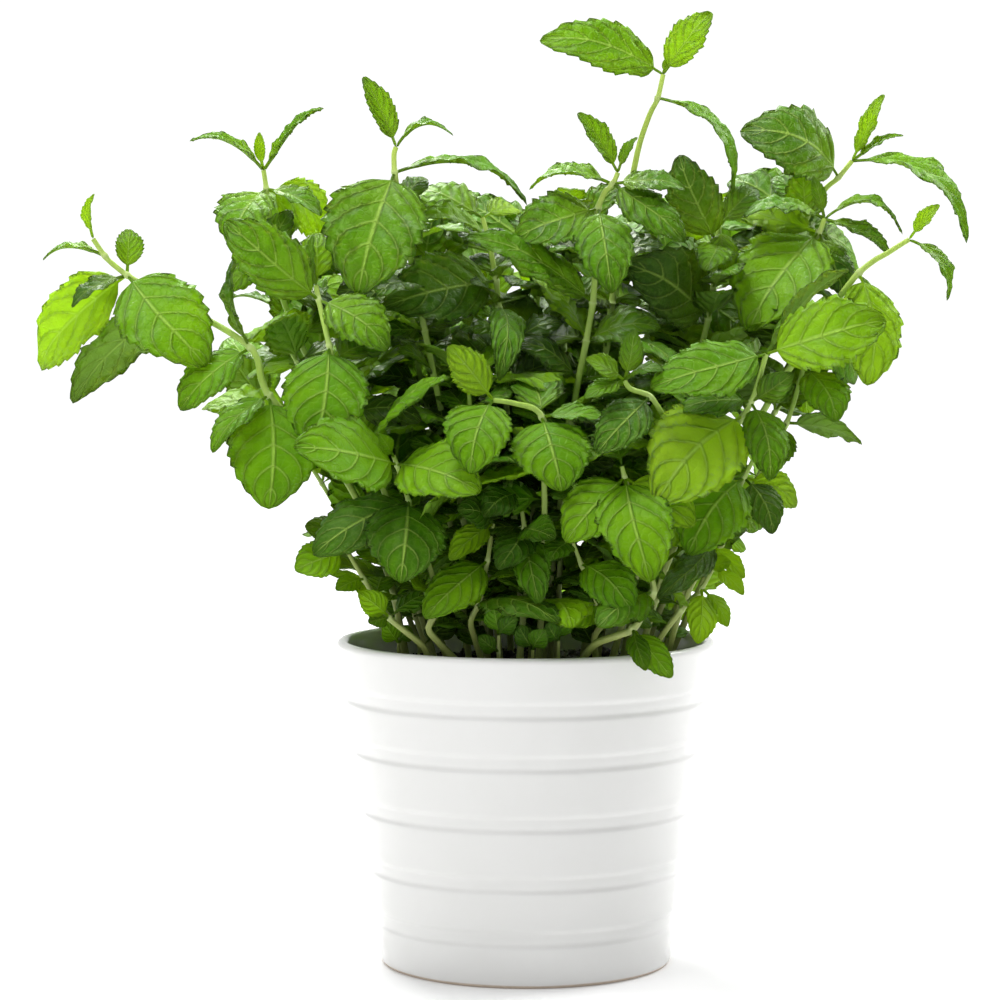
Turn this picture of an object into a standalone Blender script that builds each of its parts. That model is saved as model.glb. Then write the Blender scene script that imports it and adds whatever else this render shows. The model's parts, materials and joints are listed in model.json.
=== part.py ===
"""Mint growing in a white pot: a smooth glazed pot, dark soil, and shoots with leaves in opposite pairs."""

import math
import random

import bmesh
import bpy
from mathutils import Vector
from mathutils.bvhtree import BVHTree


MM = 0.001
RIM_R, RIM_Z, FOOT_R = 70.0, 120.0, 53.5
WALL, FLOOR = 5.0, 6.5
SOIL_Z = 110.0
GROOVES = (101.0, 82.0, 60.0, 38.0, 18.0)
STEM_R, SPROUT_R, FILLER_R = 1.35, 1.05, 1.3
SOCKET = 8.7
MIN_LEAVES = 4
FRONT = Vector((-9.6, -1180.0, 243.5))
# Leaves that fold into their own stem where they leave it, taken out at the end.
PRUNED = (1203, 2206, 2769)

# Each shoot: name, points of the stem in mm from the soil up, and its leaves as
# (point of the stem, tip, width, where the upper side looks, arch in mm, fold in degrees, tone).
SHOOTS = [
    ("arm_left",
     [(-44, -8, 110), (-51, -20, 148), (-67, -34, 184), (-92, -38, 211), (-99, -34, 228),
      (-126, -26, 244), (-144, -24, 254), (-152, -24, 261), (-156, -25, 267)],
     [(3, (-91, -54, 172), 34, (0.1, -1, 0.25), 3, 10, 0.45),
      (3, (-111, -48, 193), 13, (-0.3, -0.8, 0.6), 2, 25, 0.5),
      (4, (-124, -42, 207), 21, (-0.5, -0.8, 0.5), 2, 15, 0.5),
      (4, (-100, -30, 268), 14, (-0.9, -0.3, 0.3), 7, 15, 0.25),
      (5, (-167, -8, 210), 24, (0.2, 0.42, 0.9), 2, 10, 0.4),
      (6, (-114, -42, 223), 34, (0.25, -1, 0.35), 3, 8, 0.5),
      (6, (-181, -4, 221), 29, (-0.25, -0.9, 0.4), 3, 8, 0.8),
      (6, (-163.5, -32, 244), 12, (-0.4, -0.6, 0.7), 1, 15, 0.25),
      (6, (-143.5, -20, 271), 11, (0.2, -0.8, 0.3), 1, 35, 0.5),
      (7, (-175, -20, 261.5), 9, (0, -0.15, 1), 3, 20, 0.45),
      (8, (-156.5, -27, 283), 6, (-0.6, -0.7, 0.2), 1, 30, 0.75)]),
    ("tip_left",
     [(-36, 14, 110), (-50, 16, 150), (-70, 14, 200), (-90, 10, 245), (-96, 8, 286), (-97, 8, 293)],
     [(4, (-107.5, -10, 266), 24, (-0.3, -0.9, 0.5), 3, 10, 0.5),
      (4, (-75, 0, 278), 13, (0.1, -0.45, 0.9), 2, 20, 0.5),
      (4, (-73, 26, 271), 22, (0.3, -0.9, 0.3), 2, 10, 0.85),
      (5, (-123, 6, 306), 8, (0.1, -0.3, 1), 4, 30, 0.5),
      (5, (-77, 4, 317.5), 8, (-0.4, -0.4, 0.8), 1, 30, 0.55),
      (5, (-98.5, 8, 307), 4.5, (0, -1, 0), 0, 30, 0.7)]),
    ("mid_left",
     [(-28, -20, 110), (-38, -30, 140), (-52, -42, 180), (-66, -46, 215), (-70, -46, 229),
      (-74, -40, 245), (-75, -38, 250)],
     [(4, (-74, -60, 193), 32, (-0.1, -1, 0.2), 3, 8, 0.5),
      (5, (-106, -48, 273), 24, (-0.3, -0.8, 0.6), 3, 12, 0.45),
      (5, (-49, -52, 229), 22, (0.3, -0.9, 0.4), 2, 8, 0.55),
      (6, (-77, -38, 268), 6, (-0.7, -0.7, 0), 1, 30, 0.5)]),
    ("crown_left",
     [(-14, -8, 110), (-20, -12, 150), (-30, -16, 200), (-40, -20, 250), (-47.5, -22, 291), (-47, -22, 300)],
     [(4, (-60, -44, 249), 39, (-0.05, -1, 0.3), 3, 8, 0.4),
      (4, (1, -18, 283), 17, (0.0, -0.15, 1), 7, 15, 0.4),
      (5, (-58, -26, 325), 10, (0.3, -0.9, 0.2), 1, 25, 0.5),
      (5, (-27, -24, 306), 9, (0.3, -0.3, 0.9), 5, 25, 0.5)]),
    ("heart",
     [(-2, 4, 110), (-4, 0, 160), (-8, -6, 215), (-9, -8, 233), (-10, -8, 242), (-11, -8, 252),
      (-14, -4, 268), (-16, -2, 275)],
     [(5, (-50, -32, 244), 29, (0.0, -1, 0.35), 2, 8, 0.25),
      (3, (-54, -36, 246), 16, (0.1, 0.2, 1), 2, 10, 0.4),
      (4, (-9, -46, 219), 14, (0.2, -0.6, 0.8), 6, 15, 0.5),
      (6, (-37, -22, 277), 13, (0, -0.7, 0.8), 2, 15, 0.5),
      (7, (-2, 12, 279), 13, (0, -0.7, 0.7), 2, 10, 0.9),
      (7, (-30, 10, 281), 13, (-0.1, -0.7, 0.7), 2, 10, 0.85)]),
    ("low_left",
     [(-22, -44, 110), (-35, -50, 129), (-31, -50, 137), (-36, -49, 155), (-42, -49, 174),
      (-46, -53, 187), (-47, -55, 190)],
     [(4, (-75, -64, 157), 24, (-0.1, -0.8, 0.6), 3, 8, 0.3),
      (4, (-44, -74, 148), 30, (0.1, -0.9, 0.4), 4, 8, 0.4),
      (5, (-79, -72, 193), 31, (-0.15, -0.9, 0.5), 3, 8, 0.5),
      (5, (-17, -78, 180), 28, (0.2, -0.9, 0.45), 4, 5, 0.6),
      (6, (-51, -70, 198), 6, (0, -0.9, 0.3), 0, 20, 0.5)]),
    ("edge_left",
     [(-34, -42, 110), (-37, -46, 122), (-49, -48, 132.5), (-58, -46, 146), (-64, -44, 156)],
     [(4, (-82, -52, 150), 17, (-0.3, -0.9, 0.4), 1, 5, 0.55),
      (3, (-67, -58, 143.5), 8.5, (-0.2, -0.9, 0.3), 1, 5, 0.45),
      (2, (-59, -58, 142), 10, (-0.2, -0.9, 0.3), 1, 5, 0.7),
      (2, (-56, -54, 134), 7, (-0.2, -0.9, 0.3), 1, 5, 0.3),
      (4, (-60, -56, 166), 12, (0.1, -0.9, 0.3), 1, 8, 0.4)]),
    ("front_mid",
     [(4, -38, 110), (6, -44, 150), (6, -52, 185), (5, -56, 204), (-3, -58, 208.5), (-12, -60, 210)],
     [(3, (12, -76, 180), 30, (0.15, -0.95, 0.35), 3, 8, 0.55),
      (3, (28, -60, 204), 12, (0.2, -0.5, 0.8), 2, 10, 0.45),
      (5, (-27, -66, 229), 15, (0.2, -0.95, 0.2), 1, 10, 0.9),
      (5, (-20, -78, 186), 25, (-0.1, -0.9, 0.4), 4, 8, 0.5)]),
    ("crown_mid",
     [(6, -14, 110), (10, -16, 150), (16, -18, 200), (24, -18, 244), (26, -18, 278), (31, -18, 287),
      (33, -18, 291)],
     [(3, (-20, -30, 270), 19, (-0.2, -0.7, 0.7), 3, 15, 0.5),
      (4, (-4, -26, 266), 24, (-0.25, -0.9, 0.45), 3, 12, 0.45),
      (4, (30, -40, 247), 23, (0.1, -1, 0.3), 3, 8, 0.5),
      (5, (1, -14, 288), 16, (-0.1, -0.35, 0.95), 4, 15, 0.5),
      (5, (57, -22, 287), 15, (0.1, -0.6, 0.8), 2, 10, 0.45),
      (5, (57, -32, 270), 18, (0.2, -0.8, 0.5), 2, 10, 0.45),
      (6, (19.5, -20, 313), 10, (0.6, -0.8, 0.1), 1, 25, 0.5),
      (6, (39, -20, 304), 5, (-0.5, -0.8, 0.2), 0, 25, 0.5)]),
    ("tip_right",
     [(22, 6, 110), (24, 6, 160), (28, 6, 210), (34, 6, 260), (42, 6, 303), (48.5, 6, 319.5), (50.5, 6, 328)],
     [(6, (6, 0, 342), 22, (0.15, -0.9, 0.4), 3, 10, 0.55),
      (6, (67, 2, 351), 15, (-0.4, -0.9, 0.1), 1, 15, 0.7),
      (5, (78, 0, 286), 15, (0.5, -0.3, 0.85), 9, 20, 0.5),
      (6, (53, 6, 337), 3.5, (0, -1, 0), 0, 30, 0.6)]),
    ("dark_right",
     [(36, 0, 110), (44, 2, 150), (56, 2, 195), (67, 0, 238), (70, -2, 266), (71, -2, 272)],
     [(3, (38, -20, 258), 30, (-0.1, -0.9, 0.3), 2, 8, 0.05),
      (4, (55, -8, 297), 22, (-0.5, -0.85, 0.2), 3, 10, 0.25),
      (5, (86, 8, 287), 12, (0.2, -0.7, 0.6), 2, 10, 0.4)]),
    ("mid_right",
     [(44, 14, 110), (52, 14, 150), (72, 12, 205), (94, 8, 248), (108, 4, 270), (110, 4, 275)],
     [(4, (80, -20, 236), 38, (-0.3, -0.85, 0.5), 3, 10, 0.55),
      (4, (117, -10, 250), 17, (0.4, -0.9, 0.2), 2, 8, 0.3),
      (5, (139, 2, 272), 12, (0.1, -0.3, 0.95), 8, 20, 0.5),
      (5, (133, -8, 264), 10, (0.1, -0.5, 0.85), 1, 20, 0.4),
      (5, (80, -6, 276), 17, (-0.1, -0.4, 0.9), 3, 10, 0.5),
      (5, (106, 2, 290), 6, (0, -1, 0.2), 0, 25, 0.5),
      (4, (78, 24, 281), 16, (-0.2, -0.7, 0.6), 2, 10, 0.9)]),
    ("tip_far_right",
     [(34, 26, 110), (46, 28, 155), (70, 28, 205), (94, 26, 250), (108, 24, 281), (117, 22, 291),
      (122, 22, 297)],
     [(5, (81, 12, 309), 33, (-0.1, -0.8, 0.6), 8, 8, 0.4),
      (6, (166, 14, 269.5), 19, (0.25, -0.4, 0.9), 11, 15, 0.45),
      (6, (132.5, 22, 322.5), 7.5, (-0.5, -0.8, 0.2), 1, 25, 0.7),
      (6, (140, 20, 308), 5.5, (-0.2, -0.5, 0.8), 1, 25, 0.5)]),
    ("arm_right",
     [(50, -8, 110), (62, -10, 150), (84, -12, 200), (106, -14, 235), (121, -14, 255), (131, -14, 262),
      (139, -14, 267)],
     [(4, (124, -26, 215), 26, (0.35, -0.9, 0.3), 3, 8, 0.85),
      (6, (149, -16, 280), 6.5, (-0.5, -0.8, 0.3), 1, 25, 0.75),
      (6, (154, -18, 246), 10, (0.6, -0.6, 0.5), 5, 20, 0.5)]),
    ("front_right",
     [(40, -30, 110), (50, -38, 150), (68, -46, 190), (79, -50, 209), (84, -54, 226)],
     [(4, (43, -68, 216), 25, (-0.1, -0.85, 0.55), 3, 10, 0.55),
      (4, (125, -60, 239), 29, (0.05, -0.85, 0.5), 3, 10, 0.65),
      (4, (112, -40, 257), 13, (0.5, 0.4, 0.8), 2, 20, 0.4),
      (2.7, (45, -76, 176), 36, (-0.1, -0.95, 0.35), 3, 6, 0.9),
      (3, (54, -58, 208), 15, (-0.1, -0.6, 0.7), 2, 10, 0.45),
      (3, (93, -56, 219), 11, (0.2, -0.8, 0.3), 1, 20, 0.3),
      (3, (85, -66, 183), 17, (0.2, -0.95, 0.2), 2, 10, 0.5)]),
    ("small_head",
     [(30, -32, 110), (40, -40, 150), (50, -50, 190), (48, -54, 204), (43, -56, 211), (36, -58, 214),
      (34, -59, 217)],
     [(6, (21, -66, 225), 10, (-0.1, -0.8, 0.6), 1, 15, 0.6),
      (6, (47, -66, 219), 9, (0.1, -0.5, 0.9), 2, 10, 0.4),
      (6, (20, -70, 212), 9, (-0.1, -0.7, 0.6), 1, 15, 0.55),
      (6, (37, -64, 232), 9, (0, -0.9, 0.3), 1, 15, 0.5),
      (4, (24, -76, 193), 18, (-0.1, -0.95, 0.3), 2, 8, 0.35)]),
    ("low_right",
     [(17, -48, 110), (24, -57, 124), (37, -62, 130), (44, -63, 143), (43, -64, 150), (39, -64, 168),
      (34, -64, 183), (33, -64, 187)],
     [(6, (13, -76, 162), 22, (-0.2, -0.95, 0.3), 3, 8, 0.6),
      (6, (42, -84, 147), 28, (0.1, -0.95, 0.35), 4, 6, 0.55),
      (6, (58, -74, 170), 20, (0.2, -0.9, 0.4), 2, 8, 0.75),
      (2, (50.5, -68, 113.5), 11, (0.25, -0.95, 0.1), 2, 5, 0.45),
      (2, (41, -70, 117), 8.5, (0.1, -0.95, 0.1), 1, 5, 0.35),
      (2, (43, -54, 133), 8, (0.1, -0.9, 0.3), 1, 5, 0.3)]),
    ("side_right",
     [(50, -24, 110), (56, -32, 135), (66, -40, 158), (77, -46, 182), (80, -46, 188)],
     [(3, (56, -66, 157), 27, (-0.1, -0.95, 0.35), 3, 8, 0.55),
      (3, (87, -54, 163), 15, (0.35, -0.9, 0.2), 2, 8, 0.2),
      (3, (97, -40, 172), 13, (0.3, -0.9, 0.3), 2, 8, 0.8),
      (2, (48, -54, 153), 12, (0, 0.4, 0.9), 1, 10, 0.4),
      (2, (44, -60, 146), 14, (0, -0.8, 0.5), 2, 8, 0.25),
      (2, (77, -50, 147), 8, (0.2, -0.8, 0.5), 1, 15, 0.8)]),
    ("rim_right",
     [(43, -35, 110), (47, -39, 123), (55, -46, 135), (62, -48, 143), (66, -48, 150)],
     [(3, (60, -62, 125), 12, (0.2, -0.95, 0.1), 1, 5, 0.8),
      (3, (71, -54, 130), 8, (0.4, -0.9, 0.1), 1, 5, 0.7),
      (4, (76, -54, 142), 7, (0.2, -0.8, 0.5), 1, 15, 0.8),
      (4, (72, -52, 155), 7, (0.2, -0.8, 0.5), 1, 15, 0.7)]),
    ("outer_right",
     [(54, 8, 110), (68, 6, 145), (86, 2, 180), (96, -2, 200), (102, -2, 220)],
     [(3, (123, -14, 194), 16, (0.1, 0.6, 0.8), 1, 10, 0.4),
      (4, (113, -18, 202), 20, (0.3, -0.9, 0.3), 2, 8, 0.5),
      (3, (86, -22, 183), 19, (-0.1, -0.9, 0.3), 2, 8, 0.3)]),
    ("low_mid_left",
     [(-15, -40, 110), (-20, -47, 131), (-17, -49, 138), (-14, -51, 153), (-12, -50, 166)],
     [(3, (-36, -68, 135), 20, (-0.2, -0.9, 0.45), 2, 6, 0.6),
      (4, (-27, -66, 155), 11, (-0.1, -0.9, 0.4), 1, 8, 0.7),
      (4, (-24, -62, 172), 14, (-0.1, -0.8, 0.5), 2, 8, 0.3)]),
    ("low_mid",
     [(-3, -46, 110), (-1, -48, 140), (-1, -48, 164), (-3, -47, 176)],
     [(2, (-10, -68, 152), 15, (-0.1, -0.9, 0.4), 2, 8, 0.3),
      (2, (4, -72, 140), 15, (0.1, -0.95, 0.3), 2, 8, 0.35),
      (2, (9, -60, 163), 14, (0.1, -0.9, 0.3), 2, 8, 0.3),
      (3, (-15, -62, 170), 14, (-0.1, -0.9, 0.4), 2, 8, 0.25)]),
    ("low_mid_right",
     [(25, -42, 110), (24, -49, 126), (27, -51, 131), (25, -52, 137), (19, -56, 152), (16, -57, 160)],
     [(4, (36, -78, 138), 19, (0.1, -0.9, 0.45), 3, 6, 0.5),
      (3, (16, -62, 131), 10, (-0.1, -0.9, 0.4), 1, 5, 0.7),
      (5, (8, -70, 155), 12, (0, -0.6, 0.75), 1, 10, 0.4)]),
    ("sprout_a",
     [(-9, -52, 110), (-10, -55, 121), (-10, -56, 127)],
     [(2, (-12, -60, 138), 9, (-0.1, -0.95, 0.2), 1, 5, 0.45),
      (2, (-4, -60, 134), 7, (0.2, -0.9, 0.3), 1, 5, 0.3),
      (1, (-17, -60, 127), 7, (-0.2, -0.9, 0.4), 1, 5, 0.35)]),
    ("sprout_b",
     [(3, -56, 110), (2, -57, 118), (2, -58, 122)],
     [(2, (-3, -63, 131), 8, (-0.1, -0.95, 0.3), 1, 5, 0.3),
      (2, (6, -63, 130), 8, (0.1, -0.95, 0.3), 1, 5, 0.35)]),
    ("sprout_c",
     [(11, -53, 110), (11, -55, 119), (11, -56, 125)],
     [(2, (13, -61, 135), 9, (0.1, -0.95, 0.2), 1, 5, 0.35),
      (2, (7, -61, 132), 7, (-0.1, -0.9, 0.3), 1, 5, 0.3)]),
    ("sprout_d",
     [(-44, -30, 110), (-46, -34, 118), (-46, -35, 122)],
     [(2, (-51, -41, 130), 8, (-0.1, -0.95, 0.3), 1, 5, 0.4),
      (2, (-42, -41, 128), 8, (0.1, -0.95, 0.3), 1, 5, 0.35)]),
]

# Shoots that fill the sides and back: direction in degrees, foot distance, top distance, top height.
FILLERS = [
    (12, 44, 116, 232), (30, 57, 104, 172), (42, 34, 92, 266), (57, 52, 108, 218), (72, 26, 62, 280),
    (86, 57, 96, 176), (98, 40, 98, 250), (114, 56, 116, 212), (126, 28, 72, 272), (140, 52, 102, 180),
    (152, 40, 106, 242), (168, 56, 118, 204), (182, 34, 90, 232), (190, 56, 92, 152),
    (80, 12, 28, 264), (-8, 57, 96, 166), (108, 42, 70, 200), (54, 16, 44, 238), (165, 22, 52, 262),
    (20, 24, 60, 262), (232, 24, 34, 214), (300, 22, 30, 204), (76, 57, 86, 156), (134, 14, 44, 240),
    (150, 57, 84, 156), (48, 57, 84, 158), (112, 10, 30, 205),
]

# Outline of the bush seen from the front, in mm across and up, and the gaps that stay open in it.
OUTLINE = [
    (-58, 124), (-60, 134), (-66, 143), (-84, 146), (-84, 160), (-72, 172), (-80, 184), (-92, 172),
    (-108, 190), (-122, 206), (-112, 232), (-108, 262), (-112, 288), (-96, 292), (-74, 282), (-62, 290),
    (-44, 292),
    (-20, 288), (-2, 282), (22, 290), (56, 288), (72, 292), (104, 294), (118, 270), (134, 244), (132, 222),
    (114, 206), (96, 196), (88, 180), (97, 170), (80, 152), (74, 138), (62, 124),
]
GAPS = [(58, 257, 7), (41, 251, 5), (-7, 270, 4), (19, 239, 3), (-84, 179, 6), (84, 262, 4), (-101, 240, 5)]
CLEAR_BOX = ((-62, -10, 110), (-52, 10, 122))


def flat_point(p):
    """Where a point is seen from the front, on the upright plane through the pot's axis."""
    k = -FRONT.y / (p.y - FRONT.y)
    return FRONT.x + (p.x - FRONT.x) * k, FRONT.z + (p.z - FRONT.z) * k


def inside_outline(x, z):
    odd = False
    for (xa, za), (xb, zb) in zip(OUTLINE, OUTLINE[1:] + OUTLINE[:1]):
        if (za > z) != (zb > z) and x < (xb - xa) * (z - za) / (zb - za) + xa:
            odd = not odd
    return odd and all(math.hypot(x - a, z - b) > r for a, b, r in GAPS)


def smooth(points, per=3):
    """Catmull-Rom curve through the points, with the parameter of each sample."""
    p = [points[0] * 2 - points[1]] + points + [points[-1] * 2 - points[-2]]
    out, at = [], []
    for i in range(1, len(p) - 2):
        a, b, c, d = p[i - 1 : i + 3]
        n = max(1, min(per, int((c - b).length / 9) + 1))
        for k in range(n):
            t = k / n
            out.append(0.5 * (2 * b + (c - a) * t + (2 * a - 5 * b + 4 * c - d) * t * t
                              + (3 * b - a - 3 * c + d) * t ** 3))
            at.append(i - 1 + t)
    return out + [points[-1]], at + [len(points) - 1.0]


class Stem:
    """Square mint stem: a curve with a taper, and the frames its rings sit in."""

    def __init__(self, name, points, thick):
        self.name = name
        self.nodes = [Vector(p) for p in points]
        self.foot = self.nodes[0]
        up = Vector((0, 0, 1))
        curve, at = smooth([self.foot + up * 3] + self.nodes[1:])
        self.curve = [self.foot - up * SOCKET, self.foot + up * 0.5] + curve
        self.at = [-0.1, -0.05] + at
        n = len(self.curve)
        self.radius = [thick * (1 - 0.5 * i / (n - 1)) for i in range(n)]
        self.frames = []
        side = Vector((1, 0, 0))
        for i in range(n):
            lo, hi = max(i - 1, 0), min(i + 1, n - 1)
            t = (self.curve[hi] - self.curve[lo]).normalized() if i > 1 else Vector((0, 0, 1))
            side = (side - t * side.dot(t)).normalized()
            self.frames.append((t, side.copy(), t.cross(side)))

    def ring(self, i, grow):
        _, side, up = self.frames[i]
        r = (self.radius[i] + grow) * math.sqrt(2)
        turns = [math.pi / 4 + math.pi / 2 * k for k in range(4)]
        return [self.curve[i] + side * (r * math.cos(a)) + up * (r * math.sin(a)) for a in turns]

    def point(self, at):
        for i in range(1, len(self.at)):
            if at <= self.at[i] + 1e-9:
                a, b = self.at[i - 1], self.at[i]
                return self.curve[i - 1].lerp(self.curve[i], (at - a) / (b - a))
        return self.curve[-1].copy()

    def solid(self, grow):
        """The stem above the soil, thickened by grow."""
        return loft([self.ring(i, grow) for i in range(1, len(self.curve))], True, True)


def loft(rings, cap_first, cap_last):
    """Joins rings of the same count one after another."""
    verts, faces = [], []
    for r in rings:
        verts += r
    n = len(rings[0])
    for i in range(len(rings) - 1):
        for k in range(n):
            a, b = i * n + k, i * n + (k + 1) % n
            faces.append((a, b, b + n, a + n))
    if cap_first:
        faces.append(tuple(reversed(range(n))))
    if cap_last:
        faces.append(tuple(range(len(verts) - n, len(verts))))
    return verts, faces


class Leaf:
    """One leaf: a midrib from the stem to the tip, and a blade either side of it."""

    def __init__(self, shoot, at, base, tip, width, face, arch, fold, tone, hero, seed):
        self.shoot, self.at, self.base, self.tip = shoot, at, base, tip
        self.width, self.face, self.arch, self.fold = width, face, arch, fold
        self.tone, self.hero, self.seed = tone, hero, seed
        self.build()

    def build(self):
        rng = random.Random(self.seed)
        run = self.tip - self.base
        self.length = run.length
        self.axis = run / self.length
        n = self.face - self.axis * self.face.dot(self.axis)
        if n.length < 0.05:
            n = Vector((0, -0.6, 0.8)) - self.axis * (Vector((0, -0.6, 0.8)).dot(self.axis))
        self.normal = n.normalized()
        self.side = self.axis.cross(self.normal).normalized()
        self.stalk = min(0.22, 3.2 / self.length + 0.02)
        self.twist = math.radians(rng.uniform(-14, 14))
        self.skew = rng.uniform(-0.06, 0.06)

    def half_width(self, t):
        """Half the blade's width, from its base at 0 to its tip at 1."""
        t = min(max(t, 0.0), 1.0)
        return self.width / 2 * math.sin(math.pi * t ** 0.78) ** 0.72 if 0 < t < 1 else 0.0

    def point(self, u, v):
        """u runs from the stem to the tip, v from one edge to the other."""
        t = (u - self.stalk) / (1 - self.stalk)
        w = self.half_width(t) * v
        turn = self.twist * (u - 0.3)
        side = self.side * math.cos(turn) + self.normal * math.sin(turn)
        up = self.normal * math.cos(turn) - self.side * math.sin(turn)
        rise = math.tan(math.radians(self.fold)) * abs(w)
        bow = 4 * u * (1 - u) * self.arch
        sway = self.skew * self.length * math.sin(math.pi * u)
        return self.base + self.axis * (u * self.length) + self.normal * bow + side * (w + sway) + up * rise

    def rings(self, grow=0.0, start=0.0):
        """Cross sections from the stem to near the tip: diamonds, or triangles on the plainer leaves."""
        thick = 0.5
        shares = (0.1, 0.42, 0.74) if self.length > 26 and self.hero else (0.26, 0.7)
        cuts = [self.stalk + (1 - self.stalk) * c for c in shares]
        ring = []
        if start == 0.0:
            b, m = self.base, 0.55 + grow * 2.6
            ring.append([b - self.side * m, b - self.normal * m, b + self.side * m, b + self.normal * m])
            if not self.hero:
                ring[0][1] = b - self.normal * m * 1.6
                del ring[0][3]
        for u in cuts:
            if u < start:
                continue
            mid, lo, hi = self.point(u, 0), self.point(u, -1), self.point(u, 1)
            across = (hi - lo).normalized()
            four = [lo - across * grow, mid - self.normal * (thick + grow), hi + across * grow,
                    mid + self.normal * (thick + grow)]
            ring.append(four if self.hero else four[:3])
        return ring

    def solid(self, grow=0.0, start=0.0):
        ring = self.rings(grow, start)
        verts, faces = loft(ring, True, False)
        tip = len(verts)
        verts.append(self.point(1, 0) + self.axis * grow)
        n = len(ring[0])
        faces += [(tip - n + k, tip - n + (k + 1) % n, tip) for k in range(n)]
        return verts, faces

    def samples(self):
        """Points spread over the blade."""
        spots = [(1, 0), (0.75, -0.9), (0.75, 0.9), (0.5, -1), (0.5, 1), (0.5, 0), (0.3, -0.9), (0.3, 0.9),
                 (0.85, 0)]
        return [self.point(u, v) for u, v in spots]


def tree_of(solid):
    verts, faces = solid
    return BVHTree.FromPolygons(verts, faces)


def tree_of_leaves(leaves):
    verts, faces = [], []
    for leaf in leaves:
        v, f = leaf.solid()
        faces += [tuple(i + len(verts) for i in face) for face in f]
        verts += v
    return BVHTree.FromPolygons(verts, faces)


def box_of(verts):
    return [min(p[k] for p in verts) for k in range(3)], [max(p[k] for p in verts) for k in range(3)]


def boxes_meet(a, b):
    return all(a[0][k] <= b[1][k] and b[0][k] <= a[1][k] for k in range(3))


class Bush:
    """Places the leaves one by one so that none runs through another, a stem or the pot."""

    def __init__(self):
        self.stems, self.leaves, self.blocks = [], [], []
        self.hero_tree = None

    def block(self, solid, owner, full=None):
        self.blocks.append((box_of(solid[0]), tree_of(solid), owner, full))

    def add_pot(self):
        ring = lambda r, z: [Vector((r * math.cos(a), r * math.sin(a), z)) for a in
                             [2 * math.pi * k / 32 for k in range(32)]]
        rings = [ring(54.5, 0), ring(70.9, 120.6), ring(64.2, 120.6), ring(64.0, 110.6), ring(3, 110.6)]
        self.block(loft(rings, True, True), "pot")

    def add_stem(self, stem):
        self.stems.append(stem)
        self.block(stem.solid(0.45), "stem:" + stem.name)

    def stem_clear(self, stem):
        solid = stem.solid(0.55)
        box, tree = box_of(solid[0]), tree_of(solid)
        others = [(b, t) for b, t, owner, _ in self.blocks if owner.startswith("stem:")]
        return not any(boxes_meet(box, b) and tree.overlap(t) for b, t in others)

    def clear(self, leaf):
        """The leaf's solids, whole and without its foot, where it touches nothing; else nothing."""
        full = leaf.solid(0.35)
        part = leaf.solid(0.35, 0.12)
        box, tree, outer = box_of(full[0]), tree_of(full), tree_of(part)
        lowest, highest = CLEAR_BOX
        if box[0][2] < SOIL_Z + 1.5:
            return None
        if any(all(lowest[k] < p[k] < highest[k] for k in range(3)) for p in full[0]):
            return None
        own = "stem:" + leaf.shoot
        for b, t, owner, rest in self.blocks:
            if not boxes_meet(box, b):
                continue
            if owner == own:
                if outer.overlap(t):
                    return None
            elif owner == leaf.shoot:
                if outer.overlap(rest):
                    return None
            elif tree.overlap(t):
                return None
        return full, part

    def take(self, leaf, solids):
        full, part = solids
        self.blocks.append((box_of(full[0]), tree_of(full), leaf.shoot, tree_of(part)))
        self.leaves.append(leaf)

    def behind(self, p):
        away = (p - FRONT).normalized()
        return self.hero_tree.ray_cast(p + away * 0.5, away)[0] is None

    def hidden_enough(self, leaf):
        """A filling leaf stays behind the leaves that show."""
        return sum(not self.behind(p) for p in leaf.samples()) <= 1

    def drop_bare(self):
        """Takes out the side shoots that found room for hardly any leaves."""
        for stem in list(self.stems):
            grown = sum(leaf.shoot == stem.name for leaf in self.leaves)
            if stem.name.startswith("fill_") and grown < MIN_LEAVES:
                self.stems.remove(stem)
                self.leaves = [leaf for leaf in self.leaves if leaf.shoot != stem.name]
                self.blocks = [b for b in self.blocks if b[2] not in (stem.name, "stem:" + stem.name)]

    def in_bounds(self, leaf):
        return all(inside_outline(*flat_point(p)) for p in leaf.samples())


def grow_bush():
    """All stems with their leaves, in the same order and with the same shapes each time."""
    bush = Bush()
    bush.add_pot()
    for name, points, _ in SHOOTS:
        bush.add_stem(Stem(name, points, SPROUT_R if name.startswith("sprout") else STEM_R))
    seed = 100
    for stem, (_, _, leaves) in zip(list(bush.stems), SHOOTS):
        for row in leaves:
            seed += 1
            place_named(bush, stem, row, seed)
    bush.hero_tree = tree_of_leaves(bush.leaves)
    rng = random.Random(41)
    for k, row in enumerate(FILLERS):
        place_side_stem(bush, "fill_%02d" % (k + 1), row)
    fill_leaves(bush, rng)
    bush.drop_bare()
    close_gaps(bush)
    bush.leaves = [leaf for leaf in bush.leaves if leaf.seed not in PRUNED]
    return bush


def place_named(bush, stem, row, seed):
    """Sets a leaf at its own place, or a little nearer, further or smaller if something is in its way."""
    at, tip, width, face, arch, fold, tone = row
    base, tip = stem.point(float(at)), Vector(tip)
    for shrink in (1.0, 0.88, 0.76):
        for dy in (0, -5, 5, -10, 10, -15, 15, -21, 21, -28, 28):
            for dz in (0, 2.5, -2.5):
                goal = tip + Vector((0, dy, dz))
                run = base + (goal - base) * (0.5 + 0.5 * shrink)
                leaf = Leaf(stem.name, at, base, run, width * shrink, Vector(face), arch * shrink, fold, tone,
                            True, seed)
                solids = bush.clear(leaf)
                if solids:
                    bush.take(leaf, solids)
                    return


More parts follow.
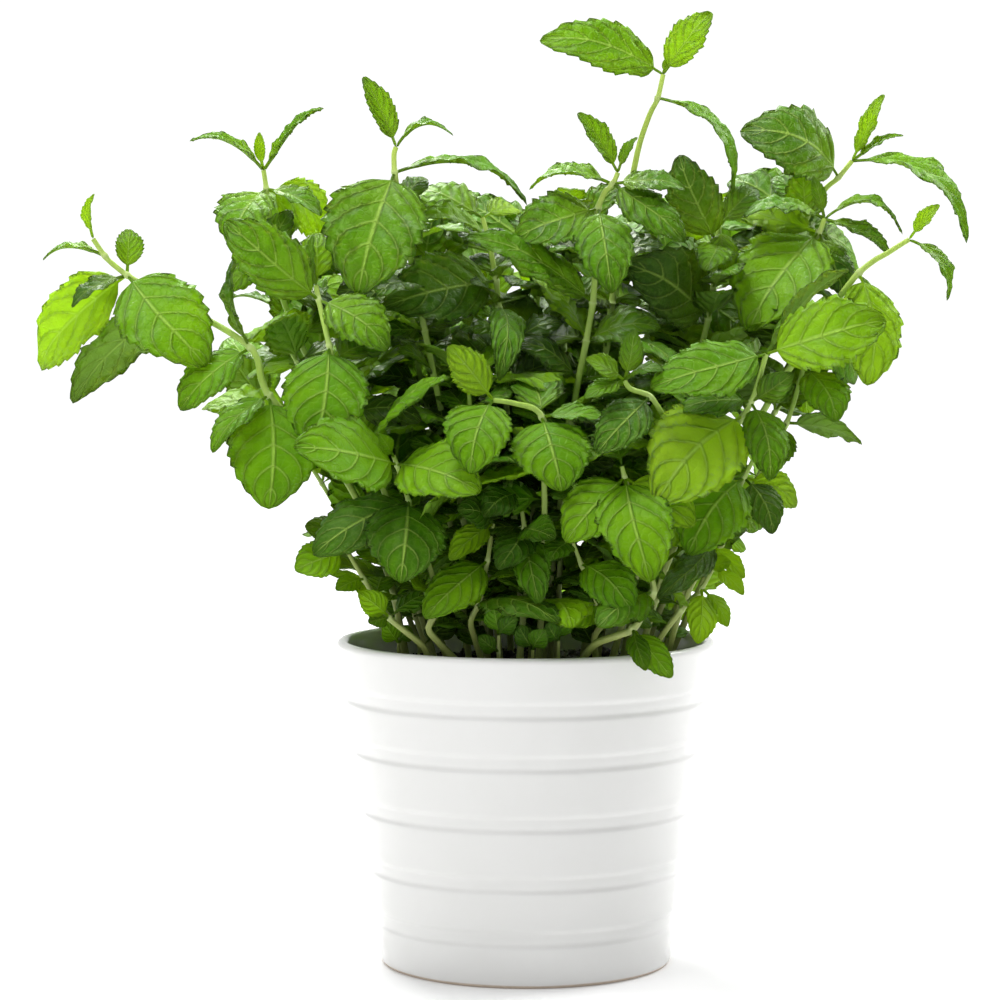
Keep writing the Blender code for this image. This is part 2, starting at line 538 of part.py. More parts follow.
def place_side_stem(bush, name, row):
    """Sets a stem at its direction, or turned a little, where it is free and behind the named leaves."""
    turn, near, far, top = row
    for step in range(40):
        a = math.radians(turn + (step + 1) // 2 * 3.0 * (1 if step % 2 else -1))
        lean = 1 + 0.04 * (step // 8)
        foot = Vector((near * math.cos(a), near * math.sin(a), SOIL_Z))
        head = Vector((far * math.cos(a), far * math.sin(a) * lean, top))
        points = []
        n = max(3, int((top - SOIL_Z) / 27))
        for i in range(n + 1):
            t = i / n
            p = foot.lerp(head, t)
            out = (t ** 1.25) * (far - near) - t * (far - near)
            p += Vector((math.cos(a), math.sin(a), 0)) * out
            p.z = SOIL_Z + (top - SOIL_Z) * (t ** 0.93)
            points.append(tuple(p))
        stem = Stem(name, points, FILLER_R)
        in_front = sum(not bush.behind(p) for p in stem.curve if p.z > RIM_Z + 4)
        inside = all(inside_outline(*flat_point(p)) for p in stem.curve[6:])
        if bush.stem_clear(stem) and in_front <= 1 and inside:
            bush.add_stem(stem)
            return


def fill_leaves(bush, rng):
    """Adds opposite pairs of leaves along every stem, each pair turned a right angle from the last."""
    hero_at = {}
    for leaf in bush.leaves:
        hero_at.setdefault(leaf.shoot, []).append(leaf.base.copy())
    for index, stem in enumerate(bush.stems):
        if stem.name.startswith("sprout"):
            continue
        run, last, level = 0.0, 0.0, 0
        turn0 = rng.uniform(0, math.pi)
        total = sum((b - a).length for a, b in zip(stem.curve[2:], stem.curve[3:]))
        for i in range(3, len(stem.curve)):
            run += (stem.curve[i] - stem.curve[i - 1]).length
            here = stem.curve[i]
            tipward = i == len(stem.curve) - 1
            if here.z < 121 or (run - last < 22 and not tipward):
                continue
            if any((here - b).length < 9 for b in hero_at.get(stem.name, [])):
                last = run
                continue
            last, level = run, level + 1
            grown = stem.frames[i][0]
            ref = Vector((1, 0, 0)).cross(grown).normalized()
            other = grown.cross(ref)
            along = run / total
            size = 31 + 12 * math.sin(math.pi * min(1, 0.25 + 0.75 * along))
            if along >= 0.8:
                size *= 1.5 - 0.65 * along
            for sign in (1, -1):
                a = turn0 + level * math.pi / 2 + (0 if sign > 0 else math.pi)
                reach = size * rng.uniform(0.85, 1.12)
                droop = rng.uniform(-0.45, 0.3)
                tone = rng.uniform(0.25, 0.75)
                seed = 1000 + index * 40 + level * 2 + (sign > 0)
                place_fill(bush, stem, i, (grown, ref, other), a, (reach, droop, along), tone, seed)


def place_fill(bush, stem, i, frame, a, habit, tone, seed):
    """Grows a leaf from the stem at angle a, turned or shortened a little until it is free and unseen."""
    here, at = stem.curve[i], stem.at[i]
    grown, ref, other = frame
    reach, droop, along = habit
    for scale in (1.0, 0.84, 0.68):
        for da in (0, 14, -14, 28, -28, 44, -44):
            for dp in (0, -0.3, 0.3):
                aa = a + math.radians(da)
                out = ref * math.cos(aa) + other * math.sin(aa)
                up = 0.35 if along < 0.85 else 0.8
                way = (out + grown * up + Vector((0, 0, droop + dp))).normalized()
                face = grown * 0.7 + Vector((0, 0, 0.6)) - out * 0.1 + Vector((here.x, here.y, 0)) * 0.004
                length = reach * scale
                width = length * (0.66 if length > 16 else 0.55)
                leaf = Leaf(stem.name, at, here, here + way * length, width, face, length * 0.07, 4, tone,
                            False, seed)
                if not bush.in_bounds(leaf) or not bush.hidden_enough(leaf):
                    continue
                solids = bush.clear(leaf)
                if solids:
                    bush.take(leaf, solids)
                    return


def close_gaps(bush, stop=80):
    """Adds a leaf behind each spot where one would see straight through the bush."""
    count = 0
    for _ in range(2):
        tree = tree_of_leaves(bush.leaves)
        for row in range(23):
            for col in range(42):
                x, z = -144 + col * 7 + (row % 2) * 3.5, 124 + row * 7.5
                if not inside_outline(x, z) or count >= stop:
                    continue
                way = (Vector((x, 0, z)) - FRONT).normalized()
                if tree.ray_cast(FRONT, way)[0] is not None:
                    continue
                if fill_spot(bush, x, z, count):
                    count += 1


def fill_spot(bush, x, z, count):
    """Grows a leaf from a stem nearby across the line of sight to that spot of the front view."""
    near = []
    for s, stem in enumerate(bush.stems):
        for i in range(2, len(stem.curve)):
            p = stem.curve[i]
            fx, fz = flat_point(p)
            far = math.hypot(fx - x, fz - z)
            if 7 < far < 30 and p.y > -45:
                near.append((abs(far - 15) - 0.1 * p.y, s, i))
    near.sort()
    for _, s, i in near[:14]:
        stem = bush.stems[s]
        base = stem.curve[i]
        k = (base.y - FRONT.y) / -FRONT.y
        spot = Vector((FRONT.x + (x - FRONT.x) * k, base.y, FRONT.z + (z - FRONT.z) * k))
        for dy in (6, -6, 16, -16):
            run = spot + Vector((0, dy, 0)) - base
            for over in (1.9, 1.5, 1.25):
                length = min(38.0, max(14.0, run.length * over))
                tip = base + run.normalized() * length
                leaf = Leaf(stem.name, stem.at[i], base, tip, length * 0.68, Vector((0, -0.75, 0.65)),
                            length * 0.06, 4, 0.3 + 0.04 * (count % 9), False, 5000 + count)
                if not bush.in_bounds(leaf) or not bush.hidden_enough(leaf):
                    continue
                solids = bush.clear(leaf)
                if solids:
                    bush.take(leaf, solids)
                    return True
    return False




LEAF_STEP = 2.7
HALF_NODE = 1.15
SOCKET_GAP = 0.32


def pot_profile():
    """Outer wall from the foot to the lip, with a shallow groove at each ring, and down the inside."""
    line = [(0.0, 0.0), (FOOT_R - 1.2, 0.0), (FOOT_R + 0.1, 0.9)]
    for z in sorted(GROOVES):
        line += [(outside(z - 2.6), z - 2.6), (outside(z) - 1.25, z - 1.5), (outside(z + 2.4), z + 2.4)]
    line += [(outside(116.5), 116.5), (RIM_R - 0.6, RIM_Z - 1.2), (RIM_R - 2.5, RIM_Z),
             (RIM_R - WALL + 1.2, RIM_Z - 0.8)]
    line += [(outside(112) - WALL, 112.0), (outside(12) - WALL, 12.0), (outside(9) - WALL - 3.5, FLOOR),
             (0.0, FLOOR)]
    return line


def outside(z):
    """Radius of the pot's straight outer wall at a height."""
    return FOOT_R + (RIM_R - FOOT_R) * z / RIM_Z


def turned(line, sides):
    """Solid of revolution; the first and last points lie on the axis."""
    verts, faces = [Vector((0, 0, line[0][1]))], []
    body = line[1:-1]
    for r, z in body:
        verts += [Vector((r * math.cos(2 * math.pi * k / sides), r * math.sin(2 * math.pi * k / sides), z))
                  for k in range(sides)]
    verts.append(Vector((0, 0, line[-1][1])))
    top = len(verts) - 1
    for k in range(sides):
        a, b = 1 + k, 1 + (k + 1) % sides
        faces.append((0, b, a))
        for i in range(len(body) - 1):
            j = i * sides
            faces.append((a + j, b + j, b + j + sides, a + j + sides))
        j = (len(body) - 1) * sides
        faces.append((a + j, b + j, top))
    return verts, faces


def soil_solid():
    """Soil that fills the pot to just under the lip, with a crumbly top."""
    rng = random.Random(7)
    gap = WALL + 0.4
    brim = SOIL_Z - 1.5
    line = [(0.0, FLOOR + 0.4), (outside(9) - gap - 4.2, FLOOR + 0.4), (outside(13) - gap, 13.0),
            (outside(brim) - gap, brim), (56.0, SOIL_Z - 0.6), (40.0, SOIL_Z), (22.0, SOIL_Z + 0.3),
            (0.0, SOIL_Z + 0.5)]
    verts, faces = turned(line, 32)
    for v in verts:
        if v.z > SOIL_Z - 1.0:
            v.z += rng.uniform(-0.5, 0.4)
    return verts, faces


def mesh_object(name, solid, parent):
    """Closed mesh from a solid in millimetres, with its faces turned outwards."""
    verts, faces = solid
    mesh = bpy.data.meshes.new(name)
    mesh.from_pydata([tuple(c * MM for c in v) for v in verts], [], faces)
    mesh.update()
    bm = bmesh.new()
    bm.from_mesh(mesh)
    bmesh.ops.recalc_face_normals(bm, faces=bm.faces)
    bmesh.ops.triangulate(bm, faces=bm.faces)
    bm.to_mesh(mesh)
    bm.free()
    ob = bpy.data.objects.new(name, mesh)
    parent.objects.link(ob)
    return ob


def ring_on(stem, arcs, s):
    """Four corners of the stem at a distance s along it, with its direction."""
    i = max(1, next((k for k, a in enumerate(arcs) if a >= s - 1e-9), len(arcs) - 1))
    f = min(1.0, max(0.0, (s - arcs[i - 1]) / (arcs[i] - arcs[i - 1])))
    p = stem.curve[i - 1].lerp(stem.curve[i], f)
    r = (stem.radius[i - 1] * (1 - f) + stem.radius[i] * f) * math.sqrt(2)
    t = stem.frames[i - 1][0].lerp(stem.frames[i][0], f).normalized()
    side = stem.frames[i - 1][1].lerp(stem.frames[i][1], f)
    side = (side - t * side.dot(t)).normalized()
    up = t.cross(side)
    return [p + side * (r * math.cos(a)) + up * (r * math.sin(a)) for a in
            [math.pi / 4 + math.pi / 2 * k for k in range(4)]], t


def bends(points, arcs, first, last, slack):
    """Indices between first and last that the stem can't do without."""
    if last - first < 2:
        return []
    a, b = points[first], points[last]
    way = (b - a).normalized()
    worst, at = 0.0, None
    for i in range(first + 1, last):
        off = points[i] - a
        away = (off - way * off.dot(way)).length
        if away > worst:
            worst, at = away, i
    if worst < slack:
        return []
    return bends(points, arcs, first, at, slack) + [at] + bends(points, arcs, at, last, slack)


def stations(stem, arcs, leaves):
    """Groups leaves that leave the stem at about the same height, at most four, or five at the tip."""
    reach = []
    for leaf in leaves:
        best = min(range(1, len(arcs)), key=lambda i: (stem.curve[i] - leaf.base).length)
        s = arcs[best]
        if best + 1 < len(arcs):
            seg = stem.curve[best + 1] - stem.curve[best]
            s += max(0.0, (leaf.base - stem.curve[best]).dot(seg.normalized()))
        if best > 1:
            seg = stem.curve[best] - stem.curve[best - 1]
            s += min(0.0, (leaf.base - stem.curve[best]).dot(seg.normalized()))
        reach.append((min(max(s, arcs[1] + 3.0), arcs[-1] - 1.2), leaf))
    reach.sort(key=lambda x: (x[0], x[1].seed))
    groups = []
    for s, leaf in reach:
        room = 5 if s > arcs[-1] - 2.5 else 4
        near = groups and s - groups[-1][0] < LEAF_STEP
        if near and len(groups[-1][1]) < room:
            groups[-1][1].append(leaf)
        elif near:
            for back in range(len(groups) - 1, -1, -1):
                groups[back][0] -= LEAF_STEP
                if back == 0 or groups[back][0] - groups[back - 1][0] >= LEAF_STEP - 0.1:
                    break
            groups.append([groups[-1][0] + LEAF_STEP, [leaf]])
        else:
            groups.append([s, [leaf]])
    return groups


def shoot_solid(stem, leaves, slack):
    """One closed body: the square stem, with each leaf growing out of a side face or the tip."""
    arcs = [0.0]
    for a, b in zip(stem.curve, stem.curve[1:]):
        arcs.append(arcs[-1] + (b - a).length)
    groups = stations(stem, arcs, leaves)
    marks = [(0.0, None), (arcs[1], None)]
    for s, found in groups:
        marks += [(s - HALF_NODE, found), (min(s + HALF_NODE, arcs[-1]), None)]
    if not groups or groups[-1][0] + HALF_NODE < arcs[-1] - 0.6:
        marks.append((arcs[-1], None))
    knees = bends(stem.curve, arcs, 1, len(arcs) - 1, slack)
    taken = [m[0] for m in marks]
    marks += [(arcs[i], None) for i in knees if all(abs(arcs[i] - t) > 3.0 for t in taken)]
    marks.sort(key=lambda m: m[0])
    verts, faces = [], [[3, 2, 1, 0]]
    rings = [ring_on(stem, arcs, m[0]) for m in marks]
    for corners, _ in rings:
        verts += corners
    last = len(rings) - 1
    for i in range(last):
        quads = {}
        for k in range(4):
            a, b = 4 * i + k, 4 * i + (k + 1) % 4
            quads[k] = [a, b, b + 4, a + 4]
        if i + 1 == last:
            quads[4] = [4 * last + k for k in range(4)]
        used = share_out(marks[i][1] or [], quads, verts, rings[last][1])
        for k, leaf in used.items():
            attach(verts, faces, quads.pop(k), leaf)
        if 4 in quads:
            faces.append(quads.pop(4))
        faces += list(quads.values())
    return verts, faces


def share_out(leaves, quads, verts, tip_way):
    """Gives each leaf the free face of the stem that looks most towards it."""
    pairs = []
    for leaf in leaves:
        target = leaf.point(leaf.stalk + (1 - leaf.stalk) * 0.2, 0)
        for k, quad in quads.items():
            centre = sum((verts[j] for j in quad), Vector()) / 4
            across, along = verts[quad[1]] - verts[quad[0]], verts[quad[3]] - verts[quad[0]]
            n = tip_way if k == 4 else across.cross(along).normalized()
            pairs.append(((target - centre).normalized().dot(n), leaf.seed, k, leaf))
    pairs.sort(key=lambda x: (-x[0], x[1], x[2]))
    used = {}
    for _, _, k, leaf in pairs:
        if k not in used and all(leaf is not other for other in used.values()):
            used[k] = leaf
    return used


def attach(verts, faces, quad, leaf):
    """Joins the leaf's first ring to the four corners of the face that it grows from."""
    rings = [list(reversed(r)) for r in leaf.rings()[1:]]
    centre = sum((verts[j] for j in quad), Vector()) / 4
    middle = sum(rings[0], Vector()) / len(rings[0])
    spread = [(verts[j] - centre).normalized() for j in quad]
    n = len(rings[0])
    best = None
    for turn in range(4):
        for start in range(n):
            order = [(start + min(k, n - 1)) % n for k in range(4)]
            ways = [(rings[0][j] - middle).normalized() for j in order]
            score = sum(spread[(turn + k) % 4].dot(ways[k]) for k in range(4))
            if best is None or score > best[0] + 1e-9:
                best = (score, turn, order)
    _, turn, order = best
    base = len(verts)
    for r in rings:
        verts += r
    for k in range(4):
        a, b = quad[(turn + k) % 4], quad[(turn + k + 1) % 4]
        c, d = base + order[(k + 1) % 4], base + order[k]
        faces.append([a, b, c] if c == d else [a, b, c, d])
    for i in range(len(rings) - 1):
        for k in range(n):
            a, b = base + i * n + k, base + i * n + (k + 1) % n
            faces.append([a, b, b + n, a + n])
    top = len(verts)
    verts.append(leaf.point(1, 0))
    for k in range(n):
        faces.append([top - n + k, top - n + (k + 1) % n, top])


def cut(target, cutters):
    """Cuts the solids out of the target in one exact Boolean and keeps the result as its mesh."""
    scratch = bpy.data.collections.new("scratch")
    bpy.context.scene.collection.children.link(scratch)
    for k, solid in enumerate(cutters):
        mesh_object("scratch_%03d" % k, solid, scratch)
    mod = target.modifiers.new("cut", "BOOLEAN")
    mod.operation, mod.solver, mod.operand_type, mod.collection = "DIFFERENCE", "EXACT", "COLLECTION", scratch
    deps = bpy.context.evaluated_depsgraph_get()
    mesh = bpy.data.meshes.new_from_object(target.evaluated_get(deps))
    target.modifiers.clear()
    target.data = mesh
    for ob in list(scratch.objects):
        bpy.data.objects.remove(ob)
    bpy.data.collections.remove(scratch)
    bm = bmesh.new()
    bm.from_mesh(mesh)
    bmesh.ops.remove_doubles(bm, verts=bm.verts, dist=2e-6)
    bmesh.ops.dissolve_degenerate(bm, edges=bm.edges, dist=2e-6)
    bmesh.ops.triangulate(bm, faces=bm.faces)
    bm.to_mesh(mesh)
    bm.free()


def socket(stem):
    """Square shaft in the soil that the stem's foot stands in, with a gap all round."""
    r = stem.radius[0] + SOCKET_GAP
    rings = []
    for z in (SOIL_Z - SOCKET - 0.4, SOIL_Z + 6.0):
        rings.append([Vector((stem.foot.x + x * r, stem.foot.y + y * r, z))
                      for x, y in ((1, 1), (-1, 1), (-1, -1), (1, -1))])
    return loft(rings, True, True)


def finish(name, colour, rough, coat=0.0):
    mat = bpy.data.materials.new(name)
    mat.use_nodes = True
    shader = mat.node_tree.nodes["Principled BSDF"]
    shader.inputs["Base Color"].default_value = (*colour, 1.0)
    shader.inputs["Roughness"].default_value = rough
    shader.inputs["Coat Weight"].default_value = coat
    return mat


def main():
    for ob in list(bpy.data.objects):
        bpy.data.objects.remove(ob)
    scene = bpy.context.scene.collection
    bush = grow_bush()

    pot = mesh_object("pot", turned(pot_profile(), 44), scene)
    pot.data.materials.append(finish("pot", (0.86, 0.86, 0.85), 0.14, 0.6))

    soil = mesh_object("soil", soil_solid(), scene)
    cut(soil, [socket(stem) for stem in bush.stems])
    soil.data.materials.append(finish("soil", (0.012, 0.009, 0.006), 0.95))

    for k, stem in enumerate(bush.stems):
        hero = k < len(SHOOTS)
        grown = [leaf for leaf in bush.leaves if leaf.shoot == stem.name]
        shoot = mesh_object(stem.name, shoot_solid(stem, grown, 0.6 if hero else 1.0), scene)
        green = (0.07 + 0.012 * (k % 5), 0.19 + 0.02 * (k % 4), 0.012)
        shoot.data.materials.append(finish(stem.name, green, 0.5))


main()
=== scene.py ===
import json
import math
import random

import bmesh
import bpy
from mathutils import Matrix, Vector, noise
from mathutils.bvhtree import BVHTree

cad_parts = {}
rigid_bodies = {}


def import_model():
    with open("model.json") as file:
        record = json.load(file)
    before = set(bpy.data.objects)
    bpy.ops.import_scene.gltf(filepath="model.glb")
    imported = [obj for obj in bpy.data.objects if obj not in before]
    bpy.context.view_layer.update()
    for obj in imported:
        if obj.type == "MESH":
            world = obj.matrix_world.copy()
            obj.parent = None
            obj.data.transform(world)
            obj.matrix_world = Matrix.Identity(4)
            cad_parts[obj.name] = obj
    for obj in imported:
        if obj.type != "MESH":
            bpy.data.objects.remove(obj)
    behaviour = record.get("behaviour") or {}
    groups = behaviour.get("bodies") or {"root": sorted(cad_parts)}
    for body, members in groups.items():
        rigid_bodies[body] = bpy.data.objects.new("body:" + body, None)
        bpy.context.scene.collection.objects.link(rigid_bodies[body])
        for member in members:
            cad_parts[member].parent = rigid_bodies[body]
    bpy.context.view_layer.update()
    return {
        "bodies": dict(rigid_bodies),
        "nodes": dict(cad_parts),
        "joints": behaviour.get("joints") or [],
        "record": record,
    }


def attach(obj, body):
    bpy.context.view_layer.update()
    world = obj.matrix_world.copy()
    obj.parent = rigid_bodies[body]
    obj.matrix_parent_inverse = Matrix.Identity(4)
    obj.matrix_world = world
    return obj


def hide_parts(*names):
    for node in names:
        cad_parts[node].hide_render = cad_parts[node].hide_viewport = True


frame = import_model()

# Lengths are in millimetres until a mesh is made; MM turns them into metres.
MM = 0.001
RIM_R, RIM_Z, FOOT_R = 70.0, 120.0, 53.5
WALL, FLOOR = 5.0, 6.5
SOIL_Z = 110.0
SOIL_GAP = 0.4
GROOVES = (101.0, 82.0, 60.0, 38.0, 18.0)
STEM_R, SPROUT_R, FILLER_R = 1.35, 1.05, 1.3
# How deep a stem stands in the soil, and how much of its thickness it loses towards its tip.
SOCKET, TAPER = 8.7, 0.5
# Most steps of a smoothed curve between two of its points, and the shortest step.
CURVE_STEPS, CURVE_PITCH = 3, 9
# Room kept round the stems, round a new stem and round a leaf, and the share of a leaf that is its foot.
STEM_ROOM, NEW_STEM_ROOM, LEAF_ROOM, FOOT_SHARE = 0.45, 0.55, 0.35, 0.12
# Half the thickness of a plain blade in its middle, and of a leaf's foot.
HALF_BLADE, HALF_FOOT = 0.5, 0.55
# Ways a named leaf may be made smaller, or moved in depth or height, until it is free.
SHRINKS, DEPTH_MOVES = (1.0, 0.88, 0.76), (0, -5, 5, -10, 10, -15, 15, -21, 21, -28, 28)
HEIGHT_MOVES = (0, 2.5, -2.5)
# Tries at a place for a side stem, degrees between them, and the length of stem between its points.
STEM_TRIES, STEM_TURN, STEM_PITCH = 40, 3.0, 27
# Length of stem between two pairs of leaves, room kept round a named leaf's foot, lowest height of a pair.
PAIR_PITCH, NAMED_ROOM, PAIR_LOW = 22, 9, 121
# Ways a leaf of a pair may be made shorter, turned round its stem in degrees, or tilted, until it is free.
SHORTENS, PAIR_TURNS, TILTS = (1.0, 0.84, 0.68), (0, 14, -14, 28, -28, 44, -44), (0, -0.3, 0.3)
# Spots of the front view where a gap is looked for: the first spot, then rows and columns with their pitch.
GRID_START, GRID_ROWS, GRID_COLUMNS = (-144, 124), (23, 7.5), (42, 7)
# How far to the side of a spot a stem may pass to send a patching leaf over it, and the best distance.
PATCH_NEAR, PATCH_BEST, PATCH_FAR, PATCH_TRIES = 7, 15, 30, 14
# A side shoot with fewer leaves is taken out again; no more patching leaves are tried past that number.
MIN_LEAVES, MOST_PATCHES = 4, 80
# The point that the front of the bush faces.
FRONT = Vector((-9.6, -1180.0, 243.5))
# Seeds of the leaves that are left out at the end; the last two fold into their own stem.
PRUNED = (1203, 2206, 2769)

